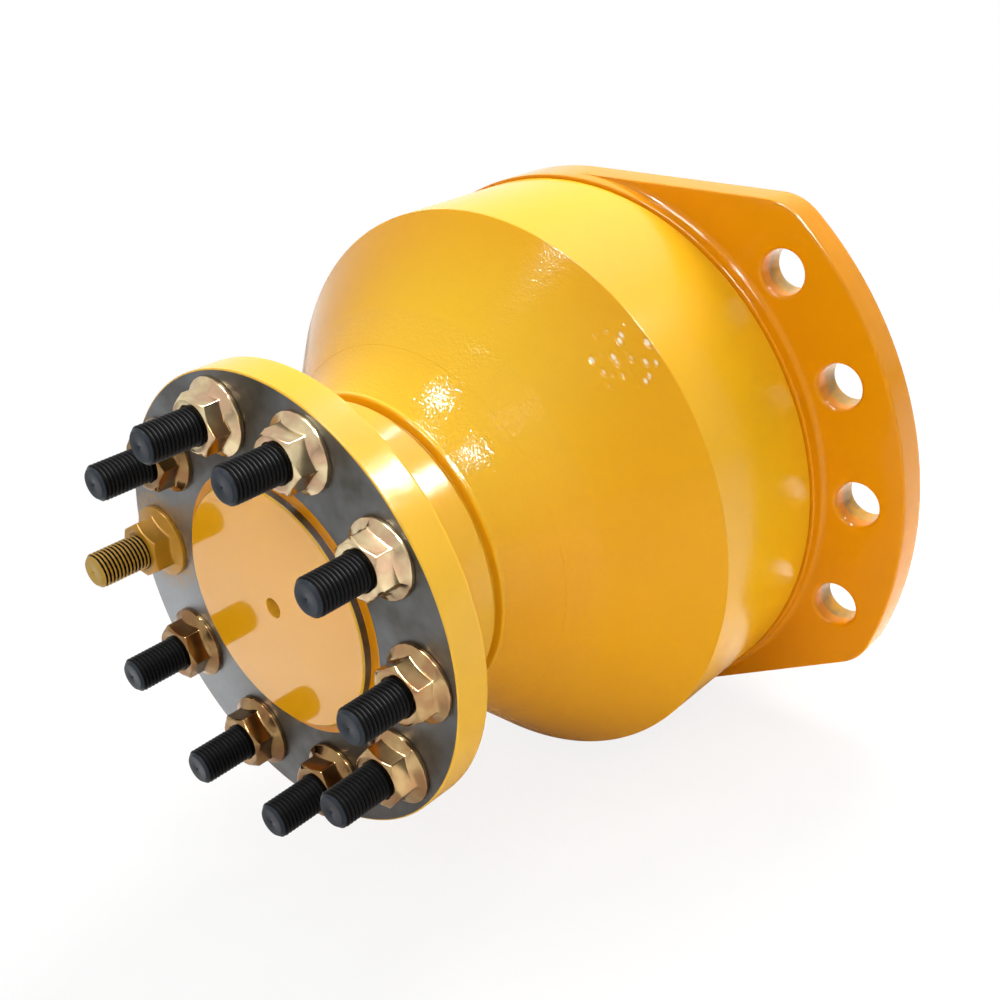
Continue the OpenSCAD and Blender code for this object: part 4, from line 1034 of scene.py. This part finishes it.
def nut_rings(turn):
    """A hexagon nut with a collar.

    Each point of the hexagon, at distance q, carries a profile: bore, collar rim, collar cone that
    rises by 24 degrees from the rim to q, flat side, and a 30 degree chamfer that meets the side at
    height H - (q - q0) tan 30. The offsets of tenths of a millimetre round the edges.
    """
    s = sizes()
    q, at = hexagon(turn)
    top_r = s.nut_af / 2 - 0.6 * MM
    corner_h = s.nut_h - np.clip(q - top_r, 0, None) * math.tan(math.radians(30))
    rim, rim_t, bore = s.nut_collar_r, s.nut_collar_t, s.stud_r - 0.5 * MM
    slant = math.tan(math.radians(24))
    foot_h = rim_t + 0.5 * MM + (rim - 0.8 * MM - q - 1 * MM) * slant
    chamfer_r = np.minimum(q - 0.15 * MM, q - 0.4 * (q - top_r))
    chamfer_h = corner_h + 0.1 * MM + 0.24 * (s.nut_h - corner_h)
    one = np.ones_like(q)
    seat = [(bore * one, 0.8 * MM * one), ((bore + 0.8 * MM) * one, 0 * one)]
    collar = [
        ((rim - 0.5 * MM) * one, 0 * one), ((rim - 0.1 * MM) * one, 0.15 * MM * one),
        (rim * one, 0.5 * MM * one), (rim * one, (rim_t - 0.6 * MM) * one),
        ((rim - 0.12 * MM) * one, (rim_t - 0.2 * MM) * one), ((rim - 0.5 * MM) * one, rim_t * one),
        ((rim - 1.6 * MM) * one, (rim_t + 0.35 * MM) * one),
    ]
    side = [
        (q + 1.6 * MM, foot_h - 0.3 * MM), (q + 0.5 * MM, foot_h + 0.25 * MM),
        (q + 0.1 * MM, foot_h + 0.9 * MM), (q, foot_h + 1.6 * MM),
        (q, corner_h - 0.9 * MM), (q - 0.02 * MM, corner_h - 0.35 * MM), (chamfer_r, chamfer_h),
    ]
    top = [
        ((top_r + 0.2 * MM) * one, (s.nut_h - 0.12 * MM) * one),
        ((top_r - 0.25 * MM) * one, s.nut_h * one), ((top_r - 0.9 * MM) * one, s.nut_h * one),
        ((s.stud_r + 1.3 * MM) * one, s.nut_h * one),
        ((s.stud_r + 0.9 * MM) * one, (s.nut_h - 0.1 * MM) * one),
        (bore * one, (s.nut_h - 1.4 * MM) * one),
    ]
    rows = seat + collar + side + top
    rings = np.stack([np.stack([r * np.cos(at), r * np.sin(at), h], 1) for r, h in rows])
    return rings, np.zeros(len(rows), int)


class MOTOR_OT_studs(bpy.types.Operator):
    """Ten wheel studs with their thread"""

    bl_idname = "motor.studs"
    bl_label = "Wheel studs"

    def execute(self, context):
        s = sizes()
        plain, misted = self.finishes()
        rings, kinds = stud_rings()
        for i in range(s.stud_count):
            placed = on_flange(rings, s.stud_turn + i * TURN / s.stud_count)
            points, faces, finish = skin(placed, kinds)
            materials = misted if i == MISTED else plain
            build(
                f"wheel_stud_{i + 1}", points, faces, finish, materials,
                "rotor", ["wheel_studs"],
            )
        return {"FINISHED"}

    def finishes(self):
        """Oiled black oxide, soft grey on the crests, a darker, duller copy in the grooves as painted
        shade, and enamel mist on it.
        """
        # a darker, duller copy of the oxide for the thread grooves: painted shade
        groove = metal("painted_shade_in_thread", linear("050506"), 0.5, 0.5, 0.02, metallic=0.0, gloss=0.06)
        plain = [
            metal("black_oxide", colours().oxide, 0.34, 0.5, 0.02, metallic=0.0, gloss=0.14),
            metal("oxide_end", linear("1e262f"), 0.4, 0.4, 0.02, metallic=0.3, gloss=0.3),
            groove,
        ]
        misted = [
            metal("oxide_with_overspray", linear("b78a1a"), 0.4, 0.6, 0.03, stain=0.4, metallic=0.2),
            metal("oxide_end_with_overspray", linear("b08a1c"), 0.45, 0.6, 0.03, stain=0.3, metallic=0.1),
            groove,
        ]
        return plain, misted


class MOTOR_OT_nuts(bpy.types.Operator):
    """Ten hexagon nuts with collars"""

    bl_idname = "motor.nuts"
    bl_label = "Wheel nuts"

    def execute(self, context):
        s, c = sizes(), colours()
        # bright metal whose film drifts in colour, thin and pale or thick and brown
        films = [
            passivated("yellow_zinc_straw", c.zinc_straw),
            passivated("yellow_zinc_gold", c.zinc_gold),
            passivated("yellow_zinc_bronze", c.zinc_bronze),
        ]
        misted = metal(
            "yellow_zinc_with_overspray", linear("c48c12"), 0.34, 0.7, 0.04, stain=0.35, metallic=0.25
        )
        corner_at = (28, 36, 36, 45, 17, 41, 3, 57, 38, 19)  # degrees, as the nuts were tightened
        film_of = (0, 0, 0, 2, 0, 2, 2, 2, 1, 1)
        for i in range(s.stud_count):
            rings, kinds = nut_rings(math.radians(corner_at[i % len(corner_at)]))
            placed = on_flange(rings, s.stud_turn + i * TURN / s.stud_count)
            points, faces, finish = skin(placed, kinds, closed=True)
            material = misted if i == MISTED else films[film_of[i % len(film_of)]]
            build(
                f"wheel_nut_{i + 1}", points, faces, finish, [material],
                "rotor", ["wheel_nuts"],
            )
        return {"FINISHED"}


class MOTOR_OT_inner_finishes(bpy.types.Operator):
    """Finishes of the rear cover, its screws and the pieces inside"""

    bl_idname = "motor.inner_finishes"
    bl_label = "Rear and inner pieces"

    def execute(self, context):
        c = colours()
        finish = {  # one for each material slot of the record
            "paint": enamel("cover_enamel", c.enamel, (5, 0.12), (1.4, 0.06), 0.14),
            "bare_steel": metal("forged_steel", linear("8e9092"), 0.38, 0.8, 0.02),
            "black_oxide_steel": metal("blackened_screw", c.oxide, 0.34, 0.4, 0.01, metallic=0.6),
            "yellow_zinc_steel": passivated("zinc_film", c.zinc_gold),
            "ground_steel": metal("ground_steel", linear("b4b7ba"), 0.24, 0.5, 0.01, stain=0.1),
            "zinc_steel": metal("bright_zinc", linear("b9bec4"), 0.3, 0.6, 0.01),
            "copper": metal("annealed_copper", linear("c07a52"), 0.35, 0.6, 0.01),
            "bronze": metal("bearing_bronze", linear("a9843f"), 0.32, 0.7, 0.02),
            "brass": metal("machined_brass", linear("c9a04c"), 0.3, 0.7, 0.02),
            "nitrile_rubber": polymer("nitrile_rubber", linear("1c1c1e"), 0.6),
            "ptfe": polymer("bronze_filled_ptfe", linear("4a4038"), 0.5),
        }
        for part in frame["record"]["subparts"]:
            node = frame["nodes"][part["node"]]
            node.data.materials.clear()
            node.data.materials.append(finish[part["material_slot"]])
        return {"FINISHED"}


class MOTOR_OT_stage(bpy.types.Operator):
    """Floor, lamps, white surroundings and the camera at the photograph's angle"""

    bl_idname = "motor.stage"
    bl_label = "Stage"

    def execute(self, context):
        scene = context.scene
        self.floor(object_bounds()[0][2])
        self.surroundings(scene)
        self.camera(scene)
        middle = Vector((0, -0.15, 0))
        neck = Vector((0.07, -0.2, 0.08))
        # name, the point it is aimed at, where it stands from there, how far, width, and watts
        broad = [
            self.lamp("ceiling_lamp", middle, (0.02, 0.62, 0.78), 1.6, 0.9, 40),
            self.lamp("overhead_lamp", middle, (0.25, -0.08, 0.96), 1.5, 0.5, 4),
            self.lamp("fill_lamp", middle, (0.3, -0.75, 0.6), 1.7, 1.0, 7),
            self.lamp("side_lamp", middle, (0.65, -0.7, -0.25), 1.6, 0.7, 7),
        ]
        for lamp in broad:
            lamp.visible_glossy = False
        glints = [
            self.lamp("neck_lamp", neck, (0.05, -0.395, 0.92), 6, 0.45, 300),
            self.lamp("side_neck_lamp", neck, (0.63, -0.40, 0.67), 4, 0.32, 80),
            self.lamp("cone_lamp", middle, (0.43, -0.71, 0.56), 1.0, 0.07, 0.3),
            self.lamp("crease_lamp", middle, (0.35, 0.0, 0.94), 1.3, 0.4, 24),
            self.lamp("edge_lamp", middle, (0.72, 0.18, 0.66), 1.4, 0.35, 50),
            self.lamp("rim_lamp", neck, (0.53, 0.59, 0.60), 1.5, 0.3, 26),
            self.lamp("collar_lamp", neck, (-0.1, 0.61, 0.79), 1.8, 0.06, 2.2),
        ]
        for lamp in glints:
            lamp.visible_diffuse = False
        scene.view_settings.view_transform = "Standard"
        return {"FINISHED"}

    def floor(self, level):
        """A wide pale disc: shown nearly white to the camera, and kept dim enough for a shadow."""
        a = np.arange(96) * TURN / 96
        r = np.array([0.01, 4.0])[:, None]
        gap = 0.5 * MM
        rings = np.stack([r * np.cos(a), r * np.sin(a), level - gap + 0 * r * a], 2)
        points, faces, kinds = skin(rings, np.zeros(2, int))
        mesh = bpy.data.meshes.new("floor")
        mesh.from_pydata(points[:-1].tolist(), [], faces[0].tolist() + faces[1].tolist())
        material, tree, place, out = fresh("pale_floor")
        grain = add(tree, "ShaderNodeTexNoise", {"Scale": 30.0}, {"Vector": place})
        tone = add(
            tree, "ShaderNodeMix", {"data_type": "RGBA", 6: linear("f4f4f4"), 7: linear("ffffff")},
            {0: grain.outputs["Fac"]},
        )
        matt = add(tree, "ShaderNodeBsdfDiffuse", None, {"Color": tone.outputs[2]})
        glow = add(tree, "ShaderNodeEmission", {"Color": (1, 1, 1, 1), "Strength": 1.0})
        ray = add(tree, "ShaderNodeLightPath")
        away = add(tree, "ShaderNodeVectorMath", {"operation": "LENGTH"}, {0: place})
        fade = add(
            tree, "ShaderNodeMapRange", {"From Min": 0.3, "From Max": 1.2, "To Min": 0.85, "To Max": 1.0},
            {"Value": away.outputs["Value"]},
        )
        seen = add(
            tree, "ShaderNodeMath", {"operation": "MULTIPLY"},
            {0: ray.outputs["Is Camera Ray"], 1: fade.outputs["Result"]},
        )
        both = add(
            tree, "ShaderNodeMixShader", None, {0: seen.outputs[0], 1: matt.outputs[0], 2: glow.outputs[0]}
        )
        tree.links.new(both.outputs[0], out.inputs["Surface"])
        mesh.materials.append(material)
        made = bpy.data.objects.new("floor", mesh)
        bpy.context.scene.collection.objects.link(made)
        made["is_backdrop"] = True

    def surroundings(self, scene):
        """White to the camera and to reflections, and a softer white as light."""
        world = bpy.data.worlds.new("studio")
        world.use_nodes = True
        tree = world.node_tree
        tree.nodes.clear()
        ray = add(tree, "ShaderNodeLightPath")
        first = add(
            tree, "ShaderNodeMath", {"operation": "MAXIMUM"},
            {0: ray.outputs["Is Camera Ray"], 1: ray.outputs["Is Glossy Ray"]},
        )
        seen = add(
            tree, "ShaderNodeMath", {"operation": "MAXIMUM"},
            {0: first.outputs[0], 1: ray.outputs["Is Transmission Ray"]},
        )
        soft = 0.44  # as light it is weaker than as a backdrop, so that the sides keep their shade
        light = add(tree, "ShaderNodeBackground", {"Color": (1, 1, 1, 1), "Strength": soft})
        white = add(tree, "ShaderNodeBackground", {"Color": (1, 1, 1, 1), "Strength": 1.0})
        both = add(
            tree, "ShaderNodeMixShader", None,
            {0: seen.outputs[0], 1: light.outputs[0], 2: white.outputs[0]},
        )
        out = add(tree, "ShaderNodeOutputWorld", None, {"Surface": both.outputs[0]})
        out.is_active_output = True
        scene.world = world

    def camera(self, scene):
        """A 45 mm lens near the wheel end, looking along the line from place to aim, rolled."""
        data = bpy.data.cameras.new("camera")
        data.sensor_width = 36
        data.lens = 45.44
        data.shift_x, data.shift_y = -0.0012, 0.0024
        data.clip_start = 0.01
        made = bpy.data.objects.new("camera", data)
        place = Vector((0.5857, -0.6504, 0.2429))
        aim = Vector((0.0190, -0.1308, -0.0032))
        roll = Matrix.Rotation(math.radians(-13.5), 4, "Z")
        look = (aim - place).to_track_quat("-Z", "Y").to_matrix().to_4x4()
        made.matrix_world = Matrix.Translation(place) @ look @ roll
        scene.collection.objects.link(made)
        scene.camera = made

    def lamp(self, name, aim, way, far, size, power):
        """A square soft lamp, aimed at a point from far away in the direction of way."""
        data = bpy.data.lights.new(name, "AREA")
        data.shape = "SQUARE"
        data.size = size
        data.energy = power
        made = bpy.data.objects.new(name, data)
        way = Vector(way).normalized()
        turn = (-way).to_track_quat("-Z", "Y").to_matrix().to_4x4()
        made.matrix_world = Matrix.Translation(aim + far * way) @ turn
        made.visible_camera = False
        bpy.context.scene.collection.objects.link(made)
        return made


OPERATORS = (
    MOTOR_OT_inner_finishes, MOTOR_OT_wheel_shaft, MOTOR_OT_housing, MOTOR_OT_plate,
    MOTOR_OT_studs, MOTOR_OT_nuts, MOTOR_OT_stage,
)


class MOTOR_PT_panel(bpy.types.Panel):
    """A button for each of the motor's pieces, and one for the stage"""

    bl_label = "Wheel motor"
    bl_idname = "MOTOR_PT_panel"
    bl_space_type = "VIEW_3D"
    bl_region_type = "UI"
    bl_category = "Motor"

    def draw(self, context):
        for operator in OPERATORS:
            self.layout.operator(operator.bl_idname)


CLASSES = (MotorSizes, MotorSeats, MotorColours, *OPERATORS, MOTOR_PT_panel)


def register():
    """Registers the classes and gives each scene its sizes and colours."""
    for kind in CLASSES:
        bpy.utils.register_class(kind)
    bpy.types.Scene.motor_sizes = PointerProperty(type=MotorSizes)
    bpy.types.Scene.motor_seats = PointerProperty(type=MotorSeats)
    bpy.types.Scene.motor_colours = PointerProperty(type=MotorColours)


def unregister():
    """Takes them away again."""
    del bpy.types.Scene.motor_sizes
    del bpy.types.Scene.motor_seats
    del bpy.types.Scene.motor_colours
    for kind in reversed(CLASSES):
        bpy.utils.unregister_class(kind)


def main():
    """Builds every piece, then the stage."""
    register()
    for operator in OPERATORS:
        group, action = operator.bl_idname.split(".")
        getattr(getattr(bpy.ops, group), action)()


if __name__ == "__main__":
    main()
